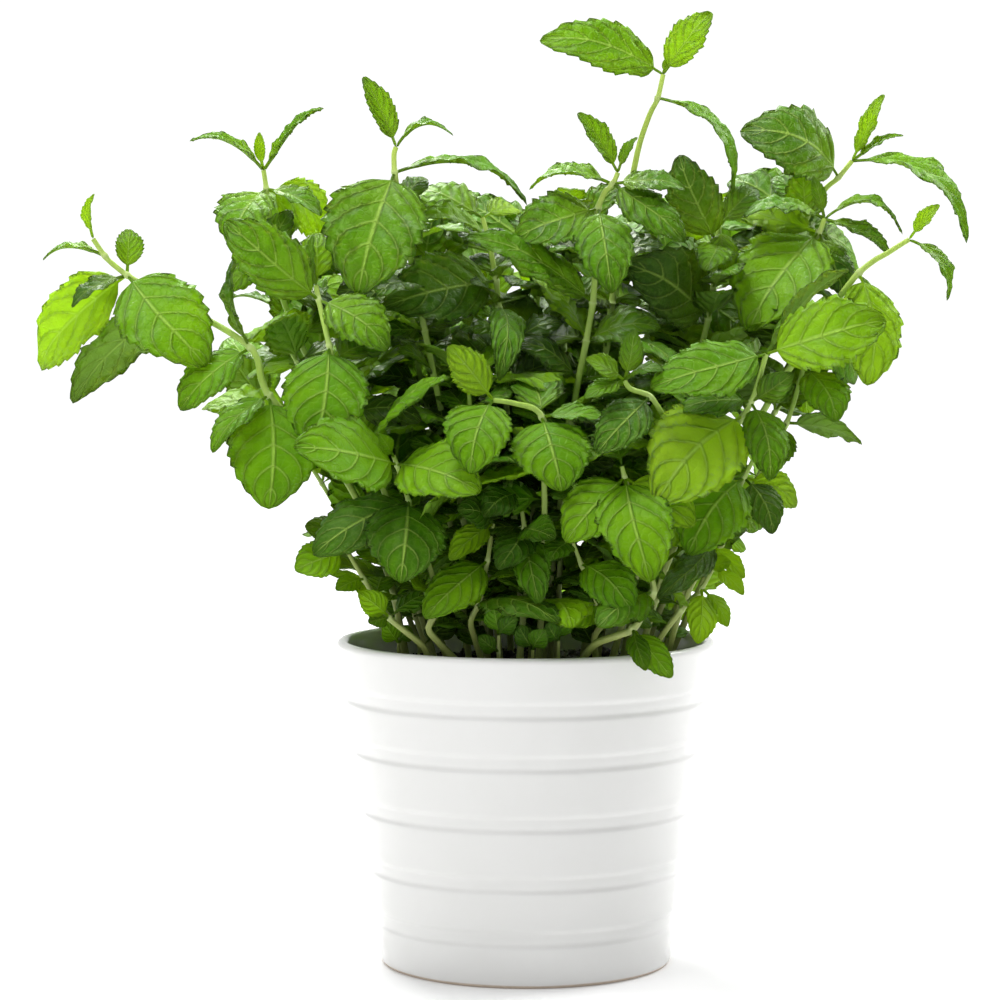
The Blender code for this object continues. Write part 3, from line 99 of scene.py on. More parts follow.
# Each shoot: name, points of the stem in mm from the soil up, and its leaves as
# (point of the stem, tip, width, where the upper side looks, arch in mm, fold in degrees, tone and light).
# The tone and light is partly the leaf's own green and partly painted light and shade: high for leaves in the
# light, low for leaves in shade.
SHOOTS = [
    ("arm_left",
     [(-44, -8, 110), (-51, -20, 148), (-67, -34, 184), (-92, -38, 211), (-99, -34, 228),
      (-126, -26, 244), (-144, -24, 254), (-152, -24, 261), (-156, -25, 267)],
     [(3, (-91, -54, 172), 34, (0.1, -1, 0.25), 3, 10, 0.45),
      (3, (-111, -48, 193), 13, (-0.3, -0.8, 0.6), 2, 25, 0.5),
      (4, (-124, -42, 207), 21, (-0.5, -0.8, 0.5), 2, 15, 0.5),
      (4, (-100, -30, 268), 14, (-0.9, -0.3, 0.3), 7, 15, 0.25),
      (5, (-167, -8, 210), 24, (0.2, 0.42, 0.9), 2, 10, 0.4),
      (6, (-114, -42, 223), 34, (0.25, -1, 0.35), 3, 8, 0.5),
      (6, (-181, -4, 221), 29, (-0.25, -0.9, 0.4), 3, 8, 0.8),
      (6, (-163.5, -32, 244), 12, (-0.4, -0.6, 0.7), 1, 15, 0.25),
      (6, (-143.5, -20, 271), 11, (0.2, -0.8, 0.3), 1, 35, 0.5),
      (7, (-175, -20, 261.5), 9, (0, -0.15, 1), 3, 20, 0.45),
      (8, (-156.5, -27, 283), 6, (-0.6, -0.7, 0.2), 1, 30, 0.75)]),
    ("tip_left",
     [(-36, 14, 110), (-50, 16, 150), (-70, 14, 200), (-90, 10, 245), (-96, 8, 286), (-97, 8, 293)],
     [(4, (-107.5, -10, 266), 24, (-0.3, -0.9, 0.5), 3, 10, 0.5),
      (4, (-75, 0, 278), 13, (0.1, -0.45, 0.9), 2, 20, 0.5),
      (4, (-73, 26, 271), 22, (0.3, -0.9, 0.3), 2, 10, 0.85),
      (5, (-123, 6, 306), 8, (0.1, -0.3, 1), 4, 30, 0.5),
      (5, (-77, 4, 317.5), 8, (-0.4, -0.4, 0.8), 1, 30, 0.55),
      (5, (-98.5, 8, 307), 4.5, (0, -1, 0), 0, 30, 0.7)]),
    ("mid_left",
     [(-28, -20, 110), (-38, -30, 140), (-52, -42, 180), (-66, -46, 215), (-70, -46, 229),
      (-74, -40, 245), (-75, -38, 250)],
     [(4, (-74, -60, 193), 32, (-0.1, -1, 0.2), 3, 8, 0.5),
      (5, (-106, -48, 273), 24, (-0.3, -0.8, 0.6), 3, 12, 0.45),
      (5, (-49, -52, 229), 22, (0.3, -0.9, 0.4), 2, 8, 0.55),
      (6, (-77, -38, 268), 6, (-0.7, -0.7, 0), 1, 30, 0.5)]),
    ("crown_left",
     [(-14, -8, 110), (-20, -12, 150), (-30, -16, 200), (-40, -20, 250), (-47.5, -22, 291), (-47, -22, 300)],
     [(4, (-60, -44, 249), 39, (-0.05, -1, 0.3), 3, 8, 0.4),
      (4, (1, -18, 283), 17, (0.0, -0.15, 1), 7, 15, 0.4),
      (5, (-58, -26, 325), 10, (0.3, -0.9, 0.2), 1, 25, 0.5),
      (5, (-27, -24, 306), 9, (0.3, -0.3, 0.9), 5, 25, 0.5)]),
    ("heart",
     [(-2, 4, 110), (-4, 0, 160), (-8, -6, 215), (-9, -8, 233), (-10, -8, 242), (-11, -8, 252),
      (-14, -4, 268), (-16, -2, 275)],
     [(5, (-50, -32, 244), 29, (0.0, -1, 0.35), 2, 8, 0.25),
      (3, (-54, -36, 246), 16, (0.1, 0.2, 1), 2, 10, 0.4),
      (4, (-9, -46, 219), 14, (0.2, -0.6, 0.8), 6, 15, 0.5),
      (6, (-37, -22, 277), 13, (0, -0.7, 0.8), 2, 15, 0.5),
      (7, (-2, 12, 279), 13, (0, -0.7, 0.7), 2, 10, 0.9),
      (7, (-30, 10, 281), 13, (-0.1, -0.7, 0.7), 2, 10, 0.85)]),
    ("low_left",
     [(-22, -44, 110), (-35, -50, 129), (-31, -50, 137), (-36, -49, 155), (-42, -49, 174),
      (-46, -53, 187), (-47, -55, 190)],
     [(4, (-75, -64, 157), 24, (-0.1, -0.8, 0.6), 3, 8, 0.3),
      (4, (-44, -74, 148), 30, (0.1, -0.9, 0.4), 4, 8, 0.4),
      (5, (-79, -72, 193), 31, (-0.15, -0.9, 0.5), 3, 8, 0.5),
      (5, (-17, -78, 180), 28, (0.2, -0.9, 0.45), 4, 5, 0.6),
      (6, (-51, -70, 198), 6, (0, -0.9, 0.3), 0, 20, 0.5)]),
    ("edge_left",
     [(-34, -42, 110), (-37, -46, 122), (-49, -48, 132.5), (-58, -46, 146), (-64, -44, 156)],
     [(4, (-82, -52, 150), 17, (-0.3, -0.9, 0.4), 1, 5, 0.55),
      (3, (-67, -58, 143.5), 8.5, (-0.2, -0.9, 0.3), 1, 5, 0.45),
      (2, (-59, -58, 142), 10, (-0.2, -0.9, 0.3), 1, 5, 0.7),
      (2, (-56, -54, 134), 7, (-0.2, -0.9, 0.3), 1, 5, 0.3),
      (4, (-60, -56, 166), 12, (0.1, -0.9, 0.3), 1, 8, 0.4)]),
    ("front_mid",
     [(4, -38, 110), (6, -44, 150), (6, -52, 185), (5, -56, 204), (-3, -58, 208.5), (-12, -60, 210)],
     [(3, (12, -76, 180), 30, (0.15, -0.95, 0.35), 3, 8, 0.55),
      (3, (28, -60, 204), 12, (0.2, -0.5, 0.8), 2, 10, 0.45),
      (5, (-27, -66, 229), 15, (0.2, -0.95, 0.2), 1, 10, 0.9),
      (5, (-20, -78, 186), 25, (-0.1, -0.9, 0.4), 4, 8, 0.5)]),
    ("crown_mid",
     [(6, -14, 110), (10, -16, 150), (16, -18, 200), (24, -18, 244), (26, -18, 278), (31, -18, 287),
      (33, -18, 291)],
     [(3, (-20, -30, 270), 19, (-0.2, -0.7, 0.7), 3, 15, 0.5),
      (4, (-4, -26, 266), 24, (-0.25, -0.9, 0.45), 3, 12, 0.45),
      (4, (30, -40, 247), 23, (0.1, -1, 0.3), 3, 8, 0.5),
      (5, (1, -14, 288), 16, (-0.1, -0.35, 0.95), 4, 15, 0.5),
      (5, (57, -22, 287), 15, (0.1, -0.6, 0.8), 2, 10, 0.45),
      (5, (57, -32, 270), 18, (0.2, -0.8, 0.5), 2, 10, 0.45),
      (6, (19.5, -20, 313), 10, (0.6, -0.8, 0.1), 1, 25, 0.5),
      (6, (39, -20, 304), 5, (-0.5, -0.8, 0.2), 0, 25, 0.5)]),
    ("tip_right",
     [(22, 6, 110), (24, 6, 160), (28, 6, 210), (34, 6, 260), (42, 6, 303), (48.5, 6, 319.5), (50.5, 6, 328)],
     [(6, (6, 0, 342), 22, (0.15, -0.9, 0.4), 3, 10, 0.55),
      (6, (67, 2, 351), 15, (-0.4, -0.9, 0.1), 1, 15, 0.7),
      (5, (78, 0, 286), 15, (0.5, -0.3, 0.85), 9, 20, 0.5),
      (6, (53, 6, 337), 3.5, (0, -1, 0), 0, 30, 0.6)]),
    ("dark_right",
     [(36, 0, 110), (44, 2, 150), (56, 2, 195), (67, 0, 238), (70, -2, 266), (71, -2, 272)],
     [(3, (38, -20, 258), 30, (-0.1, -0.9, 0.3), 2, 8, 0.05),
      (4, (55, -8, 297), 22, (-0.5, -0.85, 0.2), 3, 10, 0.25),
      (5, (86, 8, 287), 12, (0.2, -0.7, 0.6), 2, 10, 0.4)]),
    ("mid_right",
     [(44, 14, 110), (52, 14, 150), (72, 12, 205), (94, 8, 248), (108, 4, 270), (110, 4, 275)],
     [(4, (80, -20, 236), 38, (-0.3, -0.85, 0.5), 3, 10, 0.55),
      (4, (117, -10, 250), 17, (0.4, -0.9, 0.2), 2, 8, 0.3),
      (5, (139, 2, 272), 12, (0.1, -0.3, 0.95), 8, 20, 0.5),
      (5, (133, -8, 264), 10, (0.1, -0.5, 0.85), 1, 20, 0.4),
      (5, (80, -6, 276), 17, (-0.1, -0.4, 0.9), 3, 10, 0.5),
      (5, (106, 2, 290), 6, (0, -1, 0.2), 0, 25, 0.5),
      (4, (78, 24, 281), 16, (-0.2, -0.7, 0.6), 2, 10, 0.9)]),
    ("tip_far_right",
     [(34, 26, 110), (46, 28, 155), (70, 28, 205), (94, 26, 250), (108, 24, 281), (117, 22, 291),
      (122, 22, 297)],
     [(5, (81, 12, 309), 33, (-0.1, -0.8, 0.6), 8, 8, 0.4),
      (6, (166, 14, 269.5), 19, (0.25, -0.4, 0.9), 11, 15, 0.45),
      (6, (132.5, 22, 322.5), 7.5, (-0.5, -0.8, 0.2), 1, 25, 0.7),
      (6, (140, 20, 308), 5.5, (-0.2, -0.5, 0.8), 1, 25, 0.5)]),
    ("arm_right",
     [(50, -8, 110), (62, -10, 150), (84, -12, 200), (106, -14, 235), (121, -14, 255), (131, -14, 262),
      (139, -14, 267)],
     [(4, (124, -26, 215), 26, (0.35, -0.9, 0.3), 3, 8, 0.85),
      (6, (149, -16, 280), 6.5, (-0.5, -0.8, 0.3), 1, 25, 0.75),
      (6, (154, -18, 246), 10, (0.6, -0.6, 0.5), 5, 20, 0.5)]),
    ("front_right",
     [(40, -30, 110), (50, -38, 150), (68, -46, 190), (79, -50, 209), (84, -54, 226)],
     [(4, (43, -68, 216), 25, (-0.1, -0.85, 0.55), 3, 10, 0.55),
      (4, (125, -60, 239), 29, (0.05, -0.85, 0.5), 3, 10, 0.65),
      (4, (112, -40, 257), 13, (0.5, 0.4, 0.8), 2, 20, 0.4),
      (2.7, (45, -76, 176), 36, (-0.1, -0.95, 0.35), 3, 6, 0.9),
      (3, (54, -58, 208), 15, (-0.1, -0.6, 0.7), 2, 10, 0.45),
      (3, (93, -56, 219), 11, (0.2, -0.8, 0.3), 1, 20, 0.3),
      (3, (85, -66, 183), 17, (0.2, -0.95, 0.2), 2, 10, 0.5)]),
    ("small_head",
     [(30, -32, 110), (40, -40, 150), (50, -50, 190), (48, -54, 204), (43, -56, 211), (36, -58, 214),
      (34, -59, 217)],
     [(6, (21, -66, 225), 10, (-0.1, -0.8, 0.6), 1, 15, 0.6),
      (6, (47, -66, 219), 9, (0.1, -0.5, 0.9), 2, 10, 0.4),
      (6, (20, -70, 212), 9, (-0.1, -0.7, 0.6), 1, 15, 0.55),
      (6, (37, -64, 232), 9, (0, -0.9, 0.3), 1, 15, 0.5),
      (4, (24, -76, 193), 18, (-0.1, -0.95, 0.3), 2, 8, 0.35)]),
    ("low_right",
     [(17, -48, 110), (24, -57, 124), (37, -62, 130), (44, -63, 143), (43, -64, 150), (39, -64, 168),
      (34, -64, 183), (33, -64, 187)],
     [(6, (13, -76, 162), 22, (-0.2, -0.95, 0.3), 3, 8, 0.6),
      (6, (42, -84, 147), 28, (0.1, -0.95, 0.35), 4, 6, 0.55),
      (6, (58, -74, 170), 20, (0.2, -0.9, 0.4), 2, 8, 0.75),
      (2, (50.5, -68, 113.5), 11, (0.25, -0.95, 0.1), 2, 5, 0.45),
      (2, (41, -70, 117), 8.5, (0.1, -0.95, 0.1), 1, 5, 0.35),
      (2, (43, -54, 133), 8, (0.1, -0.9, 0.3), 1, 5, 0.3)]),
    ("side_right",
     [(50, -24, 110), (56, -32, 135), (66, -40, 158), (77, -46, 182), (80, -46, 188)],
     [(3, (56, -66, 157), 27, (-0.1, -0.95, 0.35), 3, 8, 0.55),
      (3, (87, -54, 163), 15, (0.35, -0.9, 0.2), 2, 8, 0.2),
      (3, (97, -40, 172), 13, (0.3, -0.9, 0.3), 2, 8, 0.8),
      (2, (48, -54, 153), 12, (0, 0.4, 0.9), 1, 10, 0.4),
      (2, (44, -60, 146), 14, (0, -0.8, 0.5), 2, 8, 0.25),
      (2, (77, -50, 147), 8, (0.2, -0.8, 0.5), 1, 15, 0.8)]),
    ("rim_right",
     [(43, -35, 110), (47, -39, 123), (55, -46, 135), (62, -48, 143), (66, -48, 150)],
     [(3, (60, -62, 125), 12, (0.2, -0.95, 0.1), 1, 5, 0.8),
      (3, (71, -54, 130), 8, (0.4, -0.9, 0.1), 1, 5, 0.7),
      (4, (76, -54, 142), 7, (0.2, -0.8, 0.5), 1, 15, 0.8),
      (4, (72, -52, 155), 7, (0.2, -0.8, 0.5), 1, 15, 0.7)]),
    ("outer_right",
     [(54, 8, 110), (68, 6, 145), (86, 2, 180), (96, -2, 200), (102, -2, 220)],
     [(3, (123, -14, 194), 16, (0.1, 0.6, 0.8), 1, 10, 0.4),
      (4, (113, -18, 202), 20, (0.3, -0.9, 0.3), 2, 8, 0.5),
      (3, (86, -22, 183), 19, (-0.1, -0.9, 0.3), 2, 8, 0.3)]),
    ("low_mid_left",
     [(-15, -40, 110), (-20, -47, 131), (-17, -49, 138), (-14, -51, 153), (-12, -50, 166)],
     [(3, (-36, -68, 135), 20, (-0.2, -0.9, 0.45), 2, 6, 0.6),
      (4, (-27, -66, 155), 11, (-0.1, -0.9, 0.4), 1, 8, 0.7),
      (4, (-24, -62, 172), 14, (-0.1, -0.8, 0.5), 2, 8, 0.3)]),
    ("low_mid",
     [(-3, -46, 110), (-1, -48, 140), (-1, -48, 164), (-3, -47, 176)],
     [(2, (-10, -68, 152), 15, (-0.1, -0.9, 0.4), 2, 8, 0.3),
      (2, (4, -72, 140), 15, (0.1, -0.95, 0.3), 2, 8, 0.35),
      (2, (9, -60, 163), 14, (0.1, -0.9, 0.3), 2, 8, 0.3),
      (3, (-15, -62, 170), 14, (-0.1, -0.9, 0.4), 2, 8, 0.25)]),
    ("low_mid_right",
     [(25, -42, 110), (24, -49, 126), (27, -51, 131), (25, -52, 137), (19, -56, 152), (16, -57, 160)],
     [(4, (36, -78, 138), 19, (0.1, -0.9, 0.45), 3, 6, 0.5),
      (3, (16, -62, 131), 10, (-0.1, -0.9, 0.4), 1, 5, 0.7),
      (5, (8, -70, 155), 12, (0, -0.6, 0.75), 1, 10, 0.4)]),
    ("sprout_a",
     [(-9, -52, 110), (-10, -55, 121), (-10, -56, 127)],
     [(2, (-12, -60, 138), 9, (-0.1, -0.95, 0.2), 1, 5, 0.45),
      (2, (-4, -60, 134), 7, (0.2, -0.9, 0.3), 1, 5, 0.3),
      (1, (-17, -60, 127), 7, (-0.2, -0.9, 0.4), 1, 5, 0.35)]),
    ("sprout_b",
     [(3, -56, 110), (2, -57, 118), (2, -58, 122)],
     [(2, (-3, -63, 131), 8, (-0.1, -0.95, 0.3), 1, 5, 0.3),
      (2, (6, -63, 130), 8, (0.1, -0.95, 0.3), 1, 5, 0.35)]),
    ("sprout_c",
     [(11, -53, 110), (11, -55, 119), (11, -56, 125)],
     [(2, (13, -61, 135), 9, (0.1, -0.95, 0.2), 1, 5, 0.35),
      (2, (7, -61, 132), 7, (-0.1, -0.9, 0.3), 1, 5, 0.3)]),
    ("sprout_d",
     [(-44, -30, 110), (-46, -34, 118), (-46, -35, 122)],
     [(2, (-51, -41, 130), 8, (-0.1, -0.95, 0.3), 1, 5, 0.4),
      (2, (-42, -41, 128), 8, (0.1, -0.95, 0.3), 1, 5, 0.35)]),
]

# Shoots that fill the sides and back: direction in degrees, foot distance, top distance, top height.
FILLERS = [
    (12, 44, 116, 232), (30, 57, 104, 172), (42, 34, 92, 266), (57, 52, 108, 218), (72, 26, 62, 280),
    (86, 57, 96, 176), (98, 40, 98, 250), (114, 56, 116, 212), (126, 28, 72, 272), (140, 52, 102, 180),
    (152, 40, 106, 242), (168, 56, 118, 204), (182, 34, 90, 232), (190, 56, 92, 152),
    (80, 12, 28, 264), (-8, 57, 96, 166), (108, 42, 70, 200), (54, 16, 44, 238), (165, 22, 52, 262),
    (20, 24, 60, 262), (232, 24, 34, 214), (300, 22, 30, 204), (76, 57, 86, 156), (134, 14, 44, 240),
    (150, 57, 84, 156), (48, 57, 84, 158), (112, 10, 30, 205),
]

# Outline of the bush seen from the front, in mm across and up, and the gaps that stay open in it.
OUTLINE = [
    (-58, 124), (-60, 134), (-66, 143), (-84, 146), (-84, 160), (-72, 172), (-80, 184), (-92, 172),
    (-108, 190), (-122, 206), (-112, 232), (-108, 262), (-112, 288), (-96, 292), (-74, 282), (-62, 290),
    (-44, 292),
    (-20, 288), (-2, 282), (22, 290), (56, 288), (72, 292), (104, 294), (118, 270), (134, 244), (132, 222),
    (114, 206), (96, 196), (88, 180), (97, 170), (80, 152), (74, 138), (62, 124),
]
GAPS = [(58, 257, 7), (41, 251, 5), (-7, 270, 4), (19, 239, 3), (-84, 179, 6), (84, 262, 4), (-101, 240, 5)]
CLEAR_BOX = ((-62, -10, 110), (-52, 10, 122))


def flat_point(p):
    """Where a point is seen from the front, on the upright plane through the pot's axis."""
    k = -FRONT.y / (p.y - FRONT.y)
    return FRONT.x + (p.x - FRONT.x) * k, FRONT.z + (p.z - FRONT.z) * k


def inside_outline(x, z):
    """Whether a spot of the front view lies in the bush's outline and in none of its gaps."""
    odd = False
    for (xa, za), (xb, zb) in zip(OUTLINE, OUTLINE[1:] + OUTLINE[:1]):
        if (za > z) != (zb > z) and x < (xb - xa) * (z - za) / (zb - za) + xa:
            odd = not odd
    return odd and all(math.hypot(x - a, z - b) > r for a, b, r in GAPS)


def smooth(points):
    """Catmull-Rom curve through the points, with the parameter of each sample."""
    p = [points[0] * 2 - points[1]] + points + [points[-1] * 2 - points[-2]]
    out, at = [], []
    for i in range(1, len(p) - 2):
        a, b, c, d = p[i - 1 : i + 3]
        n = max(1, min(CURVE_STEPS, int((c - b).length / CURVE_PITCH) + 1))
        for k in range(n):
            t = k / n
            out.append(0.5 * (2 * b + (c - a) * t + (2 * a - 5 * b + 4 * c - d) * t * t
                              + (3 * b - a - 3 * c + d) * t ** 3))
            at.append(i - 1 + t)
    return out + [points[-1]], at + [len(points) - 1.0]


class Stem:
    """Square mint stem: a curve with a taper, and the frames its rings sit in."""

    def __init__(self, name, points, thick):
        self.name = name
        foot, *rest = [Vector(p) for p in points]
        up = Vector((0, 0, 1))
        curve, at = smooth([foot + up * 3] + rest)
        self.curve = [foot - up * SOCKET, foot + up * 0.5] + curve
        self.at = [-0.1, -0.05] + at
        n = len(self.curve)
        self.radius = [thick * (1 - TAPER * i / (n - 1)) for i in range(n)]
        self.frames = []
        side = Vector((1, 0, 0))
        for i in range(n):
            lo, hi = max(i - 1, 0), min(i + 1, n - 1)
            t = (self.curve[hi] - self.curve[lo]).normalized() if i > 1 else up
            side = (side - t * side.dot(t)).normalized()
            self.frames.append((t, side.copy(), t.cross(side)))

    def ring(self, i, grow):
        """Corners of the stem at one of its points, thickened by grow."""
        _, side, up = self.frames[i]
        r = (self.radius[i] + grow) * math.sqrt(2)
        turns = [math.pi / 4 + math.pi / 2 * k for k in range(4)]
        return [self.curve[i] + side * (r * math.cos(a)) + up * (r * math.sin(a)) for a in turns]

    def point(self, at):
        """Place on the stem's middle line; at counts the points it was drawn with."""
        for i in range(1, len(self.at)):
            if at <= self.at[i] + 1e-9:
                a, b = self.at[i - 1], self.at[i]
                return self.curve[i - 1].lerp(self.curve[i], (at - a) / (b - a))
        return self.curve[-1].copy()

    def solid(self, grow):
        """The stem above the soil, thickened by grow."""
        return loft([self.ring(i, grow) for i in range(1, len(self.curve))], True)


def loft(rings, cap_last):
    """Joins rings of the same count one after another, closed at the first."""
    verts, faces = [], []
    for r in rings:
        verts += r
    n = len(rings[0])
    for i in range(len(rings) - 1):
        for k in range(n):
            a, b = i * n + k, i * n + (k + 1) % n
            faces.append((a, b, b + n, a + n))
    faces.append(tuple(reversed(range(n))))
    if cap_last:
        faces.append(tuple(range(len(verts) - n, len(verts))))
    return verts, faces


class Leaf:
    """One leaf: a midrib from the stem to the tip, and a blade either side of it."""

    def __init__(self, shoot, at, base, tip, width, face, arch, fold, tone, hero, seed):
        self.shoot, self.at, self.base, self.tip = shoot, at, base, tip
        self.width, self.face, self.arch, self.fold = width, face, arch, fold
        self.tone, self.hero, self.seed = tone, hero, seed
        self.build()

    def build(self):
        """Works out the leaf's own directions, its stalk and how it turns."""
        rng = random.Random(self.seed)
        run = self.tip - self.base
        self.length = run.length
        self.axis = run / self.length
        n = self.face - self.axis * self.face.dot(self.axis)
        if n.length < 0.05:
            spare = Vector((0, -0.6, 0.8))
            n = spare - self.axis * (spare.dot(self.axis))
        self.normal = n.normalized()
        self.side = self.axis.cross(self.normal).normalized()
        self.stalk = min(0.22, 3.2 / self.length + 0.02)
        self.twist = math.radians(rng.uniform(-14, 14))
        self.skew = rng.uniform(-0.06, 0.06)

    def half_width(self, t):
        """Half the blade's width, from its base at 0 to its tip at 1."""
        t = min(max(t, 0.0), 1.0)
        return self.width / 2 * math.sin(math.pi * t ** 0.78) ** 0.72 if 0 < t < 1 else 0.0

    def point(self, u, v):
        """u runs from the stem to the tip, v from one edge to the other."""
        t = (u - self.stalk) / (1 - self.stalk)
        w = self.half_width(t) * v
        turn = self.twist * (u - 0.3)
        side = self.side * math.cos(turn) + self.normal * math.sin(turn)
        up = self.normal * math.cos(turn) - self.side * math.sin(turn)
        rise = math.tan(math.radians(self.fold)) * abs(w)
        bow = 4 * u * (1 - u) * self.arch
        sway = self.skew * self.length * math.sin(math.pi * u)
        return self.base + self.axis * (u * self.length) + self.normal * bow + side * (w + sway) + up * rise

    def rings(self, grow=0.0, start=0.0):
        """Cross sections from the stem to near the tip: diamonds, or triangles on the plainer leaves."""
        shares = (0.1, 0.42, 0.74) if self.length > 26 and self.hero else (0.26, 0.7)
        cuts = [self.stalk + (1 - self.stalk) * c for c in shares]
        ring = []
        if start == 0.0:
            b, m = self.base, HALF_FOOT + grow * 2.6
            ring.append([b - self.side * m, b - self.normal * m, b + self.side * m, b + self.normal * m])
            if not self.hero:
                ring[0][1] = b - self.normal * m * 1.6
                del ring[0][3]
        for u in cuts:
            if u < start:
                continue
            mid, lo, hi = self.point(u, 0), self.point(u, -1), self.point(u, 1)
            across = (hi - lo).normalized()
            four = [lo - across * grow, mid - self.normal * (HALF_BLADE + grow), hi + across * grow,
                    mid + self.normal * (HALF_BLADE + grow)]
            ring.append(four if self.hero else four[:3])
        return ring

    def solid(self, grow=0.0, start=0.0):
        """The leaf, thickened by grow, from its share start on."""
        ring = self.rings(grow, start)
        verts, faces = loft(ring, False)
        tip = len(verts)
        verts.append(self.point(1, 0) + self.axis * grow)
        n = len(ring[0])
        faces += [(tip - n + k, tip - n + (k + 1) % n, tip) for k in range(n)]
        return verts, faces

    def samples(self):
        """Points spread over the blade."""
        spots = [(1, 0), (0.75, -0.9), (0.75, 0.9), (0.5, -1), (0.5, 1), (0.5, 0), (0.3, -0.9), (0.3, 0.9),
                 (0.85, 0)]
        return [self.point(u, v) for u, v in spots]


def tree_of(solid):
    return BVHTree.FromPolygons(*solid)


def tree_of_leaves(leaves):
    verts, faces = [], []
    for leaf in leaves:
        v, f = leaf.solid()
        faces += [tuple(i + len(verts) for i in face) for face in f]
        verts += v
    return BVHTree.FromPolygons(verts, faces)


def box_of(verts):
    return [min(p[k] for p in verts) for k in range(3)], [max(p[k] for p in verts) for k in range(3)]


def boxes_meet(a, b):
    return all(a[0][k] <= b[1][k] and b[0][k] <= a[1][k] for k in range(3))


class Bush:
    """Places the leaves one by one so that none runs through another, a stem or the pot."""

    def __init__(self):
        self.stems, self.leaves, self.blocks = [], [], []
        self.hero_tree = None

    def block(self, solid, owner, rest=None):
        """Keeps a solid that later ones have to clear; rest is the tree of a leaf without its foot."""
        self.blocks.append((box_of(solid[0]), tree_of(solid), owner, rest))

    def add_pot(self):
        """A plain pot filled with soil, a little larger than the real one."""
        turns = [2 * math.pi * k / 32 for k in range(32)]
        rings = [[Vector((r * math.cos(a), r * math.sin(a), z)) for a in turns] for r, z in
                 ((54.5, 0), (70.9, 120.6), (64.2, 120.6), (64.0, 110.6), (3, 110.6))]
        self.block(loft(rings, True), "pot")

    def add_stem(self, stem):
        self.stems.append(stem)
        self.block(stem.solid(STEM_ROOM), "stem:" + stem.name)

    def stem_clear(self, stem):
        solid = stem.solid(NEW_STEM_ROOM)
        box, tree = box_of(solid[0]), tree_of(solid)
        others = [(b, t) for b, t, owner, _ in self.blocks if owner.startswith("stem:")]
        return not any(boxes_meet(box, b) and tree.overlap(t) for b, t in others)

    def clear(self, leaf):
        """The leaf's solids, whole and without its foot, where it touches nothing; else nothing."""
        full = leaf.solid(LEAF_ROOM)
        part = leaf.solid(LEAF_ROOM, FOOT_SHARE)
        box, tree, outer = box_of(full[0]), tree_of(full), tree_of(part)
        lowest, highest = CLEAR_BOX
        if box[0][2] < SOIL_Z + 1.5:
            return None
        if any(all(lowest[k] < p[k] < highest[k] for k in range(3)) for p in full[0]):
            return None
        own = "stem:" + leaf.shoot
        for b, t, owner, rest in self.blocks:
            if not boxes_meet(box, b):
                continue
            if owner == own:
                if outer.overlap(t):
                    return None
            elif owner == leaf.shoot:
                if outer.overlap(rest):
                    return None
            elif tree.overlap(t):
                return None
        return full, part

    def take(self, leaf, solids):
        full, part = solids
        self.block(full, leaf.shoot, tree_of(part))
        self.leaves.append(leaf)

    def behind(self, p):
        """Whether every named leaf on the line of sight through the point stands in front of it."""
        away = (p - FRONT).normalized()
        return self.hero_tree.ray_cast(p + away * 0.5, away)[0] is None

    def hidden_enough(self, leaf):
        """A filling leaf stays behind the leaves that show."""
        return sum(not self.behind(p) for p in leaf.samples()) <= 1

    def drop_bare(self):
        """Takes out the side shoots that found room for hardly any leaves."""
        for stem in list(self.stems):
            grown = sum(leaf.shoot == stem.name for leaf in self.leaves)
            if stem.name.startswith("fill_") and grown < MIN_LEAVES:
                self.stems.remove(stem)
                self.leaves = [leaf for leaf in self.leaves if leaf.shoot != stem.name]
                self.blocks = [b for b in self.blocks if b[2] not in (stem.name, "stem:" + stem.name)]

    def in_bounds(self, leaf):
        return all(inside_outline(*flat_point(p)) for p in leaf.samples())


def grow_bush():
    """All stems with their leaves, in the same order and with the same shapes each time."""
    bush = Bush()
    bush.add_pot()
    for name, points, _ in SHOOTS:
        bush.add_stem(Stem(name, points, SPROUT_R if name.startswith("sprout") else STEM_R))
    seed = 100
    for stem, (_, _, leaves) in zip(list(bush.stems), SHOOTS):
        for row in leaves:
            seed += 1
            place_named(bush, stem, row, seed)
    bush.hero_tree = tree_of_leaves(bush.leaves)
    rng = random.Random(41)
    for k, row in enumerate(FILLERS):
        place_side_stem(bush, "fill_%02d" % (k + 1), row)
    fill_leaves(bush, rng)
    bush.drop_bare()
    close_gaps(bush)
    bush.leaves = [leaf for leaf in bush.leaves if leaf.seed not in PRUNED]
    return bush


def place_named(bush, stem, row, seed):
    """Sets a leaf at its own place, or a little nearer, further or smaller if something is in its way."""
    at, tip, width, face, arch, fold, tone = row
    base, tip = stem.point(float(at)), Vector(tip)
    for shrink in SHRINKS:
        for dy in DEPTH_MOVES:
            for dz in HEIGHT_MOVES:
                goal = tip + Vector((0, dy, dz))
                run = base + (goal - base) * (0.5 + 0.5 * shrink)
                leaf = Leaf(stem.name, at, base, run, width * shrink, Vector(face), arch * shrink, fold, tone,
                            True, seed)
                solids = bush.clear(leaf)
                if solids:
                    bush.take(leaf, solids)
                    return


